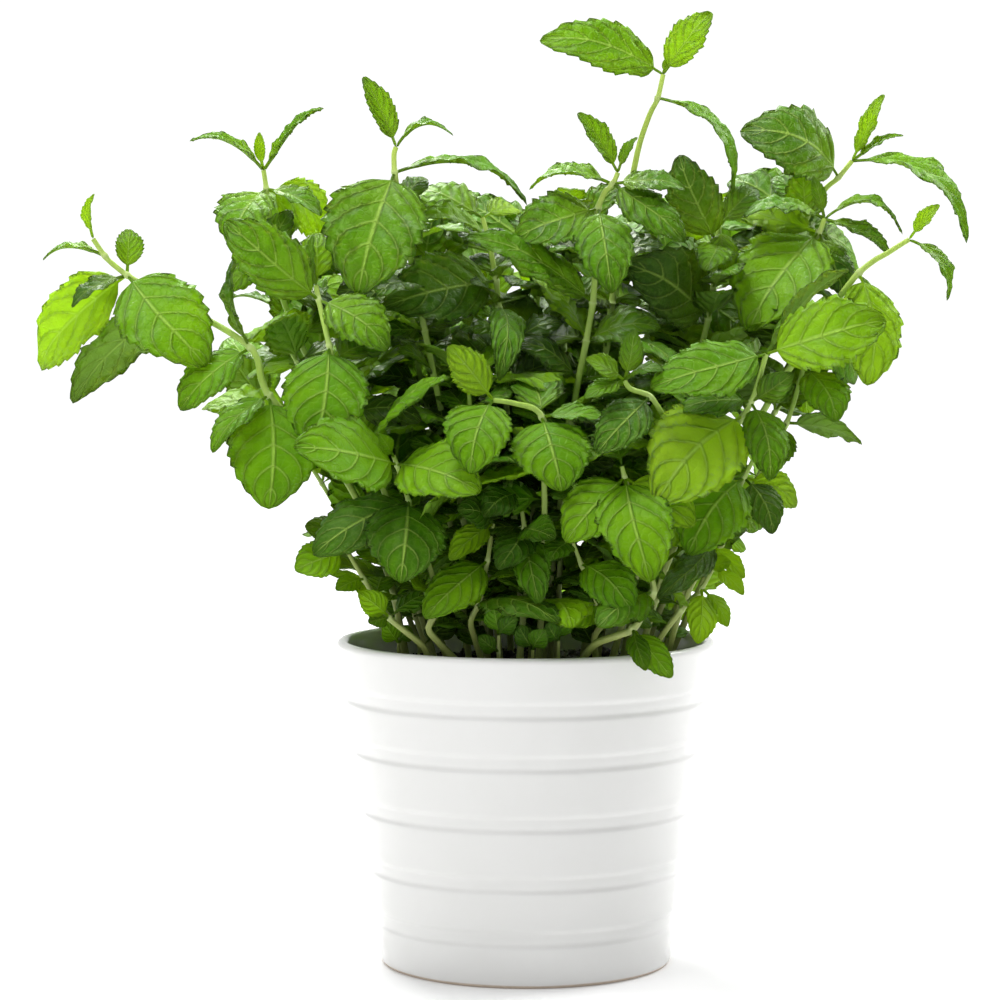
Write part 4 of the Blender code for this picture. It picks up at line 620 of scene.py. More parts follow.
def place_side_stem(bush, name, row):
    """Sets a stem at its direction, or turned a little, where it is free and behind the named leaves."""
    turn, near, far, top = row
    for step in range(STEM_TRIES):
        a = math.radians(turn + (step + 1) // 2 * STEM_TURN * (1 if step % 2 else -1))
        lean = 1 + 0.04 * (step // 8)
        foot = Vector((near * math.cos(a), near * math.sin(a), SOIL_Z))
        head = Vector((far * math.cos(a), far * math.sin(a) * lean, top))
        points = []
        n = max(3, int((top - SOIL_Z) / STEM_PITCH))
        for i in range(n + 1):
            t = i / n
            p = foot.lerp(head, t)
            out = (t ** 1.25) * (far - near) - t * (far - near)
            p += Vector((math.cos(a), math.sin(a), 0)) * out
            p.z = SOIL_Z + (top - SOIL_Z) * (t ** 0.93)
            points.append(tuple(p))
        stem = Stem(name, points, FILLER_R)
        in_front = sum(not bush.behind(p) for p in stem.curve if p.z > RIM_Z + 4)
        inside = all(inside_outline(*flat_point(p)) for p in stem.curve[6:])
        if bush.stem_clear(stem) and in_front <= 1 and inside:
            bush.add_stem(stem)
            return


def fill_leaves(bush, rng):
    """Adds opposite pairs of leaves along every stem, each pair turned a right angle from the last."""
    hero_at = {}
    for leaf in bush.leaves:
        hero_at.setdefault(leaf.shoot, []).append(leaf.base.copy())
    for index, stem in enumerate(bush.stems):
        if stem.name.startswith("sprout"):
            continue
        run, last, level = 0.0, 0.0, 0
        turn0 = rng.uniform(0, math.pi)
        total = sum((b - a).length for a, b in zip(stem.curve[2:], stem.curve[3:]))
        for i in range(3, len(stem.curve)):
            run += (stem.curve[i] - stem.curve[i - 1]).length
            here = stem.curve[i]
            tipward = i == len(stem.curve) - 1
            if here.z < PAIR_LOW or (run - last < PAIR_PITCH and not tipward):
                continue
            if any((here - b).length < NAMED_ROOM for b in hero_at.get(stem.name, [])):
                last = run
                continue
            last, level = run, level + 1
            grown = stem.frames[i][0]
            ref = Vector((1, 0, 0)).cross(grown).normalized()
            other = grown.cross(ref)
            along = run / total
            # Leaves are longest halfway up the stem and shorter again at its tip.
            size = 31 + 12 * math.sin(math.pi * min(1, 0.25 + 0.75 * along))
            if along >= 0.8:
                size *= 1.5 - 0.65 * along
            for sign in (1, -1):
                a = turn0 + level * math.pi / 2 + (0 if sign > 0 else math.pi)
                reach = size * rng.uniform(0.85, 1.12)
                droop = rng.uniform(-0.45, 0.3)
                tone = rng.uniform(0.25, 0.75)
                seed = 1000 + index * 40 + level * 2 + (sign > 0)
                place_fill(bush, stem, i, (grown, ref, other), a, (reach, droop, along), tone, seed)


def place_fill(bush, stem, i, frame, a, habit, tone, seed):
    """Grows a leaf from the stem at angle a, turned or shortened a little until it is free and unseen."""
    here, at = stem.curve[i], stem.at[i]
    grown, ref, other = frame
    reach, droop, along = habit
    for scale in SHORTENS:
        for da in PAIR_TURNS:
            for dp in TILTS:
                aa = a + math.radians(da)
                out = ref * math.cos(aa) + other * math.sin(aa)
                up = 0.35 if along < 0.85 else 0.8
                way = (out + grown * up + Vector((0, 0, droop + dp))).normalized()
                face = grown * 0.7 + Vector((0, 0, 0.6)) - out * 0.1 + Vector((here.x, here.y, 0)) * 0.004
                length = reach * scale
                width = length * (0.66 if length > 16 else 0.55)
                leaf = Leaf(stem.name, at, here, here + way * length, width, face, length * 0.07, 4, tone,
                            False, seed)
                if not bush.in_bounds(leaf) or not bush.hidden_enough(leaf):
                    continue
                solids = bush.clear(leaf)
                if solids:
                    bush.take(leaf, solids)
                    return


def close_gaps(bush):
    """Adds a leaf behind each spot where one would see straight through the bush."""
    count = 0
    (left, low), (rows, up), (columns, right) = GRID_START, GRID_ROWS, GRID_COLUMNS
    for _ in range(2):
        tree = tree_of_leaves(bush.leaves)
        for row in range(rows):
            for col in range(columns):
                x, z = left + col * right + (row % 2) * right / 2, low + row * up
                if not inside_outline(x, z) or count >= MOST_PATCHES:
                    continue
                way = (Vector((x, 0, z)) - FRONT).normalized()
                if tree.ray_cast(FRONT, way)[0] is not None:
                    continue
                if fill_spot(bush, x, z, count):
                    count += 1


def fill_spot(bush, x, z, count):
    """Grows a leaf from a stem nearby across the line of sight to that spot of the front view."""
    near = []
    for s, stem in enumerate(bush.stems):
        for i in range(2, len(stem.curve)):
            p = stem.curve[i]
            fx, fz = flat_point(p)
            far = math.hypot(fx - x, fz - z)
            if PATCH_NEAR < far < PATCH_FAR and p.y > -45:
                near.append((abs(far - PATCH_BEST) - 0.1 * p.y, s, i))
    near.sort()
    for _, s, i in near[:PATCH_TRIES]:
        stem = bush.stems[s]
        base = stem.curve[i]
        k = (base.y - FRONT.y) / -FRONT.y
        spot = Vector((FRONT.x + (x - FRONT.x) * k, base.y, FRONT.z + (z - FRONT.z) * k))
        for dy in (6, -6, 16, -16):
            run = spot + Vector((0, dy, 0)) - base
            for over in (1.9, 1.5, 1.25):
                length = min(38.0, max(14.0, run.length * over))
                tip = base + run.normalized() * length
                leaf = Leaf(stem.name, stem.at[i], base, tip, length * 0.68, Vector((0, -0.75, 0.65)),
                            length * 0.06, 4, 0.3 + 0.04 * (count % 9), False, 5000 + count)
                if not bush.in_bounds(leaf) or not bush.hidden_enough(leaf):
                    continue
                solids = bush.clear(leaf)
                if solids:
                    bush.take(leaf, solids)
                    return True
    return False


# Side veins on a leaf, and how they lean and bend towards the tip.
VEINS = 4.9
LEAN, SWEEP = 0.27, 0.24
# Each kind of leaf: its number, rows in its stalk, teeth along each edge, points round its blade.
LEAF_KINDS = ((1.0, 4, 9, 32), (2.0, 2, 6, 16), (3.0, 1, 3, 8))
SHOWN_KIND, SIDE_KIND, SHADED_KIND = (row[0] for row in LEAF_KINDS)
TOOTH_ROWS = 4
# Values kept on the points of a skeleton, and those of them or of the blank that the finishes read.
LEAF_VECTORS = ("base", "axis", "side", "face")
LEAF_NUMBERS = ("length", "half", "arch", "fold", "twist", "skew", "stalk", "tone", "rugose", "chance",
                "notch", "kind")
STEM_NUMBERS = ("girth", "knot")
FINISH_NUMBERS = ("blade", "across", "layer", "tone", "rugose", "chance", "knot")
POT_SIDES, SOIL_SIDES, SOIL_RINGS = 216, 120, 26
# Heights between which shaded leaves fill the inside, and where the larger of them start.
LOWEST, MIDDLE, HIGHEST_INNER = 116.0, 172.0, 262.0
# For small and for large shaded leaves: rise along the stem between pairs, shortest and longest leaf,
# how far from the pot's axis a tip may reach, and how much the upper side looks to the front.
SMALL_SHADED, LARGE_SHADED = (3.4, 10, 19, 60, 0.5), (8.0, 17, 29, 80, 0.9)
# Depths between which the tips of large shaded leaves stay.
SHADED_FRONT, SHADED_BACK = -48, 62
# Above SWELL_FROM the stems are thicker, by the whole share SWELL from SWELL_OVER higher on.
SWELL_FROM, SWELL_OVER, SWELL = 170, 80, 0.3
FLOOR_REACH = 4.0


class Wire:
    """One output of a node; a sum written with it adds the nodes that work the sum out."""

    def __init__(self, plan, socket):
        self.plan, self.socket = plan, socket

    def __add__(self, other):
        return self.plan.sum("ADD", self, other)

    def __radd__(self, other):
        return self.plan.sum("ADD", other, self)

    def __sub__(self, other):
        return self.plan.sum("SUBTRACT", self, other)

    def __rsub__(self, other):
        return self.plan.sum("SUBTRACT", other, self)

    def __mul__(self, other):
        return self.plan.sum("MULTIPLY", self, other)

    def __rmul__(self, other):
        return self.plan.sum("MULTIPLY", other, self)

    def __truediv__(self, other):
        return self.plan.sum("DIVIDE", self, other)

    def __pow__(self, other):
        return self.plan.sum("POWER", self, other)

    def __lt__(self, other):
        return self.plan.sum("LESS_THAN", self, other)

    def __gt__(self, other):
        return self.plan.sum("GREATER_THAN", self, other)

    def __abs__(self):
        return self.plan.sum("ABSOLUTE", self)

    def sine(self):
        return self.plan.sum("SINE", self)

    def cosine(self):
        return self.plan.sum("COSINE", self)

    def fraction(self):
        return self.plan.sum("FRACT", self)

    def at_least(self, other):
        return self.plan.sum("MAXIMUM", self, other)

    def at_most(self, other):
        return self.plan.sum("MINIMUM", self, other)

    def step(self, low, high):
        """Rises smoothly from 0 at low to 1 at high."""
        return self.plan.add("ShaderNodeMapRange", {"interpolation_type": "SMOOTHSTEP"},
                             {0: self, 1: low, 2: high})

    def out(self, name):
        return Wire(self.plan, self.socket.node.outputs[name])


class Plan:
    """A node tree that is written as expressions."""

    def __init__(self, tree):
        self.tree = tree

    def add(self, kind, settings=None, sockets=None):
        """Adds a node with its settings, then the values or links of its sockets."""
        node = self.tree.nodes.new(kind)
        for key, value in (settings or {}).items():
            if key == "stops":
                self.set_stops(node.color_ramp, value)
            else:
                setattr(node, key, value)
        for key, value in (sockets or {}).items():
            for item in value if isinstance(value, list) else [value]:
                self.feed(node.inputs[key], item)
        shown = [s for s in node.outputs if s.enabled]
        return Wire(self, shown[0]) if shown else node

    def feed(self, socket, value):
        if isinstance(value, Wire):
            self.tree.links.new(value.socket, socket)
        elif socket.type == "RGBA":
            socket.default_value = (*value, 1.0)
        else:
            socket.default_value = value

    def set_stops(self, ramp, stops):
        while len(ramp.elements) < len(stops):
            ramp.elements.new(0.5)
        for element, (at, colour) in zip(ramp.elements, stops):
            element.position = at
            element.color = (*colour, 1.0)

    def sum(self, work, *values):
        """One step of arithmetic, as Vector Math where a value is a vector and as Math where none is."""
        wide = [v for v in values if isinstance(v, (Vector, tuple)) or
                (isinstance(v, Wire) and v.socket.type == "VECTOR")]
        if len(wide) == 1 and work == "MULTIPLY":
            number = values[1] if values[0] is wide[0] else values[0]
            return self.add("ShaderNodeVectorMath", {"operation": "SCALE"}, {0: wide[0], "Scale": number})
        kind = "ShaderNodeVectorMath" if wide else "ShaderNodeMath"
        return self.add(kind, {"operation": work}, dict(enumerate(values)))

    def vector(self, x, y, z):
        return self.add("ShaderNodeCombineXYZ", None, {0: x, 1: y, 2: z})

    def stored(self, name, wide=False):
        """Value kept on the mesh under that name."""
        if self.tree.type == "SHADER":
            return self.add("ShaderNodeAttribute", {"attribute_name": name}).out("Fac")
        return self.add("GeometryNodeInputNamedAttribute",
                        {"data_type": "FLOAT_VECTOR" if wide else "FLOAT"}, {"Name": name})

    def store(self, shape, name, value):
        return self.add("GeometryNodeStoreNamedAttribute", {"data_type": "FLOAT", "domain": "POINT"},
                        {"Geometry": shape, "Name": name, "Value": value})

    def blend(self, first, second, share):
        """Colour between two, at that share of the second."""
        node = self.tree.nodes.new("ShaderNodeMix")
        node.data_type = "RGBA"
        for place, value in ((0, share), (6, first), (7, second)):
            self.feed(node.inputs[place], value)
        return Wire(self, node.outputs[2])

    def grain(self, vector, scale, detail=2.0, rough=0.5):
        return self.add("ShaderNodeTexNoise", None,
                        {"Vector": vector, "Scale": scale, "Detail": detail, "Roughness": rough})


def growth_plan(name, inputs):
    """Geometry tree with named inputs, and a wire from each of them."""
    tree = bpy.data.node_groups.new(name, "GeometryNodeTree")
    tree.is_modifier = True
    tree.interface.new_socket(name="Geometry", in_out="OUTPUT", socket_type="NodeSocketGeometry")
    for label, kind in [("Geometry", "Geometry")] + inputs:
        tree.interface.new_socket(name=label, in_out="INPUT", socket_type="NodeSocket" + kind)
    plan = Plan(tree)
    source = tree.nodes.new("NodeGroupInput")
    return plan, {s.name: Wire(plan, s) for s in source.outputs if s.name}


def close_plan(plan, shape):
    plan.add("NodeGroupOutput", None, {0: plan.add("GeometryNodeRealizeInstances", None, {0: shape})})


def grow(ob, plan, values):
    """Runs the geometry tree on the object and keeps the outcome as its own plain mesh."""
    mod = ob.modifiers.new("growth", "NODES")
    mod.node_group = plan.tree
    for item in plan.tree.interface.items_tree:
        if item.in_out == "INPUT" and item.name in values:
            mod[item.identifier] = values[item.name]
    mesh = bpy.data.meshes.new_from_object(ob.evaluated_get(bpy.context.evaluated_depsgraph_get()))
    ob.modifiers.clear()
    ob.data = mesh
    spent = set(LEAF_VECTORS + LEAF_NUMBERS + STEM_NUMBERS) - set(FINISH_NUMBERS)
    for name in [a.name for a in mesh.attributes if a.name in spent]:
        mesh.attributes.remove(mesh.attributes[name])
    mesh.name = ob.name


def blank_leaf(plan, neck_rows, teeth, round_count):
    """Closed blank of a leaf: a grid rolled into a lens, with both ends drawn to points."""
    blade_rows = TOOTH_ROWS * teeth
    rows = neck_rows + blade_rows
    grid = plan.add("GeometryNodeMeshGrid", None, {"Size X": 1.0, "Size Y": 1.0, "Vertices X": rows + 1,
                                                   "Vertices Y": round_count + 1})
    spot = plan.add("ShaderNodeSeparateXYZ", None, {0: plan.add("GeometryNodeInputPosition")})
    along, turn = spot.out("X") + 0.5, spot.out("Y") + 0.5
    row = along * rows
    blade = ((row - neck_rows) / float(blade_rows)).at_least(0.0)
    across = 1 - abs(4 * turn - 2)
    across = across * (0.7 + 0.3 * abs(across))
    ends = (along > 0.001) * (along < 0.999)
    layer = (turn * math.tau).sine()
    saw = (((row - neck_rows) / float(TOOTH_ROWS) + 0.01).fraction() * 1.32).at_most(1.0)
    shape = grid
    for name, value in (("blade", blade), ("neck", (row / float(neck_rows)).at_most(1.0)),
                        ("across", across), ("layer", layer), ("saw", saw)):
        shape = plan.store(shape, name, value)
    flat = plan.vector(along, across * ends, layer * ends * 0.1)
    shape = plan.add("GeometryNodeSetPosition", None, {"Geometry": shape, "Position": flat})
    return plan.add("GeometryNodeMergeByDistance", None, {"Geometry": shape, "Distance": 1e-4})


def side_vein(blade, out):
    """Counts the side veins from the base; they leave the midrib and bend towards the tip."""
    return VEINS * (blade - LEAN * out - SWEEP * out * out * out)


def leaf_form(plan, given):
    """Place of each point of a leaf in millimetres, from its blank and from how this leaf grew."""
    base, axis, side, face = (plan.stored(name, True) for name in LEAF_VECTORS)
    length, half, arch, fold, twist, skew, stalk, rugose, chance, notch = (plan.stored(name) for name in (
        "length", "half", "arch", "fold", "twist", "skew", "stalk", "rugose", "chance", "notch"))
    blade, neck, across, layer, saw = (plan.stored(name) for name in
                                       ("blade", "neck", "across", "layer", "saw"))
    out = abs(across)
    u = stalk * neck + (1 - stalk) * blade
    # Outline: an oval that narrows to the tip and to the stalk, with teeth cut into its rim.
    outline = (math.pi * blade ** 0.84).sine().at_least(0.0) ** (0.56 + 0.12 * blade * blade)
    rim = out ** 4.0
    bare = 1 - blade
    width = (half * outline * (1 - notch * (1 - saw) * rim)).at_least(given["Stalk"] * bare * bare)
    w = width * across
    # The blade turns a little about its midrib and folds up along it.
    turn = twist * (u - 0.3)
    across_way = side * turn.cosine() + face * turn.sine()
    up_way = face * turn.cosine() - side * turn.sine()
    flank = (w * w + 0.8) ** 0.5 - 0.894
    # Cushions between the side veins, with finer lumps, and a trough along the midrib.
    pucker = abs((side_vein(blade, out) * math.pi).sine()) ** 0.75
    inner = out.step(0.02, 0.34) * (1 - 0.8 * out.step(0.72, 1.0)) * blade.step(0.0, 0.12)
    spot = plan.vector(blade * length, w, chance * 90.0)
    lumps = plan.grain(spot, 0.34, 2.0) - 0.5
    quilt = length * (0.024 + 0.032 * rugose) * (length / 32.0).at_most(1.0)
    relief = quilt * (pucker - 0.45 + lumps * (0.7 + 0.9 * rugose)) * inner
    relief = relief - (0.16 + 0.35 * rugose) * (1 - out.step(0.0, 0.13)) * blade.step(0.0, 0.1) * bare
    # The rim waves, the blade cups or spreads, and the tip hangs.
    wave = ((blade * 2.3 + chance) * math.tau).sine() * across * 0.7
    ripple = ((blade * 3.6 + chance * 3.0 + across * 0.3) * math.tau).sine() * 0.5
    relief = relief + (wave + ripple) * out * out * given["Wave"] * outline * length / 34.0
    relief = relief + (chance - 0.72) * 0.42 * width * (across * across - 0.3) * outline
    droop = (u - 0.62).at_least(0.0)
    relief = relief - droop * droop * length * (0.25 + 0.5 * rugose) * given["Droop"]
    # Half the thickness, more at the foot, and a raised midrib on the underside.
    skin = given["Skin"] + 0.4 * bare ** 7.0
    rib = (1 - out.step(0.0, 0.16)) * 0.3 * bare * (layer < -0.5)
    lift = fold * flank + relief + layer * skin - rib
    bow = 4 * u * (1 - u) * arch
    sway = skew * (u * math.pi).sine()
    forward = u * length + saw * rim * notch * length * 0.11
    return base + axis * forward + face * bow + across_way * (w + sway) + up_way * lift


def shoot_plan(leaf_skin, stem_skin):
    """A square stem along each line of the skeleton, and a leaf on each of its loose points."""
    sizes = [(label, "Float") for label in ("Skin", "Stalk", "Wave", "Droop", "Corner")]
    plan, given = growth_plan("mint shoot", sizes)
    kind = plan.stored("kind")
    leaves = []
    for grade, neck_rows, teeth, round_count in LEAF_KINDS:
        points = plan.add("GeometryNodeSeparateGeometry", {"domain": "POINT"},
                          {0: given["Geometry"], 1: abs(kind - grade) < 0.5})
        blank = blank_leaf(plan, neck_rows, teeth, round_count)
        leaves.append(plan.add("GeometryNodeInstanceOnPoints", None, {"Points": points, "Instance": blank}))
    blades = plan.add("GeometryNodeJoinGeometry", None, {0: leaves})
    blades = plan.add("GeometryNodeRealizeInstances", None, {0: blades})
    blades = plan.add("GeometryNodeSetPosition", None,
                    {"Geometry": blades, "Position": leaf_form(plan, given) * MM})
    blades = plan.add("GeometryNodeSetMaterial", None, {0: blades, "Material": leaf_skin})
    line = plan.add("GeometryNodeMeshToCurve", None, {0: given["Geometry"]})
    line = plan.add("GeometryNodeCurveSplineType", {"spline_type": "CATMULL_ROM"}, {0: line})
    line = plan.add("GeometryNodeSetSplineResolution", None, {0: line, "Resolution": 3})
    square = plan.add("GeometryNodeCurvePrimitiveQuadrilateral", None, {"Width": 2.0, "Height": 2.0})
    square = plan.add("GeometryNodeFilletCurve", {"mode": "POLY"},
                      {0: square, "Count": 2, "Radius": given["Corner"]})
    stem = plan.add("GeometryNodeCurveToMesh", None, {0: line, 1: square, "Scale": plan.stored("girth") * MM,
                                                      "Fill Caps": True})
    stem = plan.add("GeometryNodeSetMaterial", None, {0: stem, "Material": stem_skin})
    shape = plan.add("GeometryNodeJoinGeometry", None, {0: [blades, stem]})
    shape = plan.add("GeometryNodeSetShadeSmooth", None, {0: shape})
    close_plan(plan, shape)
    return plan


def stem_line(stem, leaves):
    """Points of the stem with the girth and the paleness at each, swollen where leaves leave it."""
    line = []
    last = len(stem.curve) - 1
    for i, (p, r) in enumerate(zip(stem.curve, stem.radius)):
        close = [leaf for leaf in leaves if (leaf.base - p).length < 2.5]
        way = stem.frames[i][0]
        r *= 1 + SWELL * min(1.0, max(0.0, (p.z - SWELL_FROM) / SWELL_OVER))
        if close and 1 < i < last:
            line += [(p - way * 1.9, r, 0.2), (p, r * 1.32, 1.0), (p + way * 1.7, r * 0.98, 0.3)]
        else:
            line.append((p, r, 0.0))
    return line


def habit_of(leaf):
    """Numbers that the shape and the colour of one leaf need."""
    rng = random.Random(leaf.seed * 7 + 3)
    # Leaves higher up are more puckered, and long ones a little less.
    high = min(1.0, max(0.0, (leaf.tip.z - 165) / 100))
    rugose = 0.18 + 0.8 * high + rng.uniform(-0.12, 0.12)
    if leaf.length > 33:
        rugose *= 0.72
    rugose = min(1.0, max(0.05, rugose))
    return {"base": leaf.base, "axis": leaf.axis, "side": leaf.side, "face": leaf.normal,
            "length": leaf.length, "half": leaf.width / 2, "arch": leaf.arch,
            "fold": math.tan(math.radians(leaf.fold)), "twist": leaf.twist,
            "skew": leaf.skew * leaf.length, "stalk": leaf.stalk, "tone": leaf.tone, "rugose": rugose,
            "chance": rng.random(), "notch": 0.06 + 0.06 * rugose,
            "kind": SHOWN_KIND if leaf.hero else SIDE_KIND}


def skeleton(name, stem, leaves, shaded):
    """Line of the stem and a loose point for each leaf, with what grows there kept on the points."""
    line = stem_line(stem, leaves)
    rows = [{"girth": r, "knot": k} for _, r, k in line] + [habit_of(leaf) for leaf in leaves]
    rows += [{**habit_of(leaf), "kind": SHADED_KIND} for leaf in shaded]
    points = [p for p, _, _ in line] + [leaf.base for leaf in leaves + shaded]
    mesh = bpy.data.meshes.new(name)
    mesh.from_pydata([tuple(p * MM) for p in points], [(i, i + 1) for i in range(len(line) - 1)], [])
    for key in LEAF_VECTORS:
        values = [c for row in rows for c in row.get(key, (0.0, 0.0, 0.0))]
        mesh.attributes.new(key, "FLOAT_VECTOR", "POINT").data.foreach_set("vector", values)
    for key in LEAF_NUMBERS + STEM_NUMBERS:
        values = [row.get(key, 0.0) for row in rows]
        mesh.attributes.new(key, "FLOAT", "POINT").data.foreach_set("value", values)
    ob = bpy.data.objects.new(name, mesh)
    bpy.context.scene.collection.objects.link(ob)
    return ob


def inner_leaves(stem):
    """Shaded leaves in opposite pairs on the bare parts of a stem, small low down and larger above."""
    rng = random.Random("low " + stem.name)
    found, last = [], -99.0
    for i in range(2, len(stem.curve)):
        here = stem.curve[i]
        high = here.z > MIDDLE
        rise, shortest, longest, reach, front = LARGE_SHADED if high else SMALL_SHADED
        if not LOWEST < here.z < HIGHEST_INNER or here.z - last < rise:
            continue
        last = here.z
        turn = rng.uniform(0, math.tau)
        for half_turn in (0, math.pi):
            a = turn + half_turn + rng.uniform(-0.4, 0.4)
            way = Vector((math.cos(a), math.sin(a), rng.uniform(-0.1, 0.7))).normalized()
            size = rng.uniform(shortest, longest)
            tip = here + way * size
            if high and not SHADED_FRONT < tip.y < SHADED_BACK:
                continue
            if math.hypot(tip.x, tip.y) > reach or tip.z < SOIL_Z + 3:
                continue
            if not inside_outline(*flat_point(tip + way * 3)):
                continue
            face = Vector((-way.x * way.z, -way.y * way.z, 1.0)) + Vector((0, -front, 0))
            # Their low tone paints shade onto these inner leaves, which come out darker than the leaves
            # outside.
            found.append(Leaf(stem.name, stem.at[i], here, tip, size * 0.74, face, size * 0.08, 6,
                              rng.uniform(0.08, 0.50), False, rng.randrange(10 ** 6)))
    return found


def new_material(name):
    """Empty material and the plan of its nodes."""
    mat = bpy.data.materials.new(name)
    mat.use_nodes = True
    mat.node_tree.nodes.clear()
    return mat, Plan(mat.node_tree)


def close_finish(plan, surface):
    plan.add("ShaderNodeOutputMaterial", None, {"Surface": surface})


def leaf_finish():
    """Mint leaf: a net of veins, puckers between them, a pale underside, light through the blade, and painted
    light and shade in the green of each leaf.
    """
    mat, plan = new_material("mint_leaf")
    blade, across, layer, tone, rugose, chance = (plan.stored(name) for name in
                                                  ("blade", "across", "layer", "tone", "rugose", "chance"))
    place = plan.add("ShaderNodeTexCoord").out("Object")
    out = abs(across)
    under = layer < -0.02
    # The veins: thin lines where the count of side veins is whole, a midrib, and a net between them.
    gap = abs(side_vein(blade, out).fraction() - 0.5) * 2
    side_veins = gap.step(0.80, 0.97) * (1 - out.step(0.82, 1.0)) * blade.step(0.02, 0.1)
    midrib = 1 - out.step(0.012, 0.075)
    cells = plan.add("ShaderNodeTexVoronoi", {"feature": "DISTANCE_TO_EDGE"},
                     {"Vector": place, "Scale": 430.0, "Randomness": 0.9})
    net = 1 - cells.step(0.0, 0.16)
    blotch = plan.grain(place, 60.0, 3.0) - 0.5
    speck = plan.grain(place, 900.0, 2.0) - 0.5
    cushion = abs((side_vein(blade, out) * math.pi).sine()) * out.step(0.02, 0.3) * (1 - out.step(0.75, 1.0))
    # The cushion term paints a little shade into the furrows along the side veins and a little light on the
    # raised cushions between them.
    shade = tone + blotch * 0.32 + (chance - 0.5) * 0.12 + (cushion - 0.45) * 0.04
    # The ramp turns each leaf's tone into its green, partly its own colour and partly painted light and
    # shade: the near-black stops paint leaves that lie in shade, the pale yellow-green ones paint leaves in
    # the light.
    flesh = plan.add("ShaderNodeValToRGB", {"stops": [
        (0.0, (0.004, 0.026, 0.0005)), (0.3, (0.024, 0.108, 0.001)), (0.5, (0.094, 0.285, 0.001)),
        (0.72, (0.235, 0.470, 0.003)), (1.0, (0.410, 0.625, 0.030))]}, {"Fac": shade})
    # Paler ribs, and paler young leaves near their foot.
    ribs = (midrib * 0.85 + side_veins * (0.62 + 0.2 * rugose) + net * 0.12).at_most(1.0)
    young = (1 - blade.step(0.0, 0.55)) * rugose.step(0.35, 1.0)
    young_green, rib_green, edge_green = (0.31, 0.56, 0.02), (0.46, 0.68, 0.12), (0.02, 0.06, 0.008)
    dull_green, pale_green, back_rib_green = (0.16, 0.30, 0.05), (0.30, 0.44, 0.13), (0.12, 0.26, 0.05)
    flesh = plan.blend(flesh, young_green, young * 0.55)
    top = plan.blend(flesh, rib_green, ribs * (0.42 + 0.5 * tone))
    pale = plan.blend(dull_green, pale_green, shade)
    back = plan.blend(pale, back_rib_green, side_veins * 0.5 + net * 0.15)
    colour = plan.blend(top, back, under * (0.35 + 0.3 * tone))
    colour = plan.blend(colour, edge_green, out.step(0.965, 1.0) * 0.45)
    rough = 0.40 + 0.16 * (blotch + 0.5) + under * 0.18 + speck * 0.1
    # The ribs lie low and the cushions stand up on the upper side, the other way round below.
    raised = cushion * (0.9 + 1.1 * rugose) - midrib * 1.1 - side_veins * 0.8 - net * (0.10 + 0.20 * rugose)
    height = raised * (1 - 2 * under) + speck * 0.16 + blotch * 0.5
    bump = plan.add("ShaderNodeBump", None, {"Strength": 0.9, "Distance": 0.0009, "Height": height})
    gloss = plan.add("ShaderNodeBsdfPrincipled", None,
                     {"Base Color": colour, "Roughness": rough, "Normal": bump, "Specular IOR Level": 0.34,
                      "Specular Tint": (0.80, 1.0, 0.30), "Coat Weight": 0.05 + 0.22 * rugose * rugose,
                      "Coat Roughness": 0.34})
    through = plan.add("ShaderNodeBsdfTranslucent", None, {"Color": (0.68, 0.93, 0.05)})
    share = 0.20 + 0.32 * shade.step(0.20, 0.95)
    mixed = plan.add("ShaderNodeMixShader", None, {0: share, 1: gloss, 2: through})
    close_finish(plan, mixed)
    return mat


def stem_finish():
    """Stems: pale at the foot and at the knots, green above, with fine streaks along them."""
    mat, plan = new_material("mint_stem")
    place = plan.add("ShaderNodeTexCoord").out("Object")
    knot = plan.stored("knot")
    drawn_out = plan.add("ShaderNodeMapping", None, {0: place, "Scale": (1.0, 1.0, 0.12)})
    streak = plan.grain(drawn_out, 700.0, 2.0)
    patch = plan.grain(place, 45.0, 2.0)
    height = plan.add("ShaderNodeSeparateXYZ", None, {0: place}).out("Z")
    high = (height + (patch - 0.5) * 0.05).step(0.125, 0.215)
    foot_green, stem_green, tip_green = (0.30, 0.35, 0.09), (0.34, 0.52, 0.07), (0.50, 0.68, 0.10)
    streak_green, knot_green = (0.13, 0.24, 0.03), (0.52, 0.64, 0.26)
    green = plan.blend(foot_green, stem_green, high)
    green = plan.blend(green, tip_green, height.step(0.22, 0.30))
    colour = plan.blend(green, streak_green, (streak - 0.35) * 0.7)
    colour = plan.blend(colour, knot_green, knot * 0.6)
    bump = plan.add("ShaderNodeBump", None, {"Strength": 0.5, "Distance": 0.0003, "Height": streak})
    skin = plan.add("ShaderNodeBsdfPrincipled", None,
                    {"Base Color": colour, "Roughness": 0.42 + 0.2 * patch, "Normal": bump})
    close_finish(plan, skin)
    return mat


def glaze_finish():
    """White glaze with a bare clay line round the foot."""
    mat, plan = new_material("white_glaze")
    place = plan.add("ShaderNodeTexCoord").out("Object")
    height = plan.add("ShaderNodeSeparateXYZ", None, {0: place}).out("Z")
    cloud = plan.grain(place, 18.0, 3.0)
    dust = plan.grain(place, 320.0, 2.0)
    bare = 1 - (height + (cloud - 0.5) * 0.0006).step(0.0009, 0.0015)
    white = plan.blend((0.74, 0.74, 0.725), (0.78, 0.78, 0.77), cloud)
    clay = plan.blend((0.46, 0.37, 0.29), (0.60, 0.51, 0.42), dust)
    colour = plan.blend(white, clay, bare)
    rough = 0.16 + 0.1 * cloud + 0.55 * bare
    bump = plan.add("ShaderNodeBump", None,
                    {"Strength": 0.25, "Distance": 0.0004, "Height": cloud + dust * (0.06 + bare)})
    glaze = plan.add("ShaderNodeBsdfPrincipled", None,
                     {"Base Color": colour, "Roughness": rough, "Normal": bump, "Specular IOR Level": 0.35,
                      "Coat Weight": (1 - bare) * 0.12, "Coat Roughness": 0.08})
    close_finish(plan, glaze)
    return mat


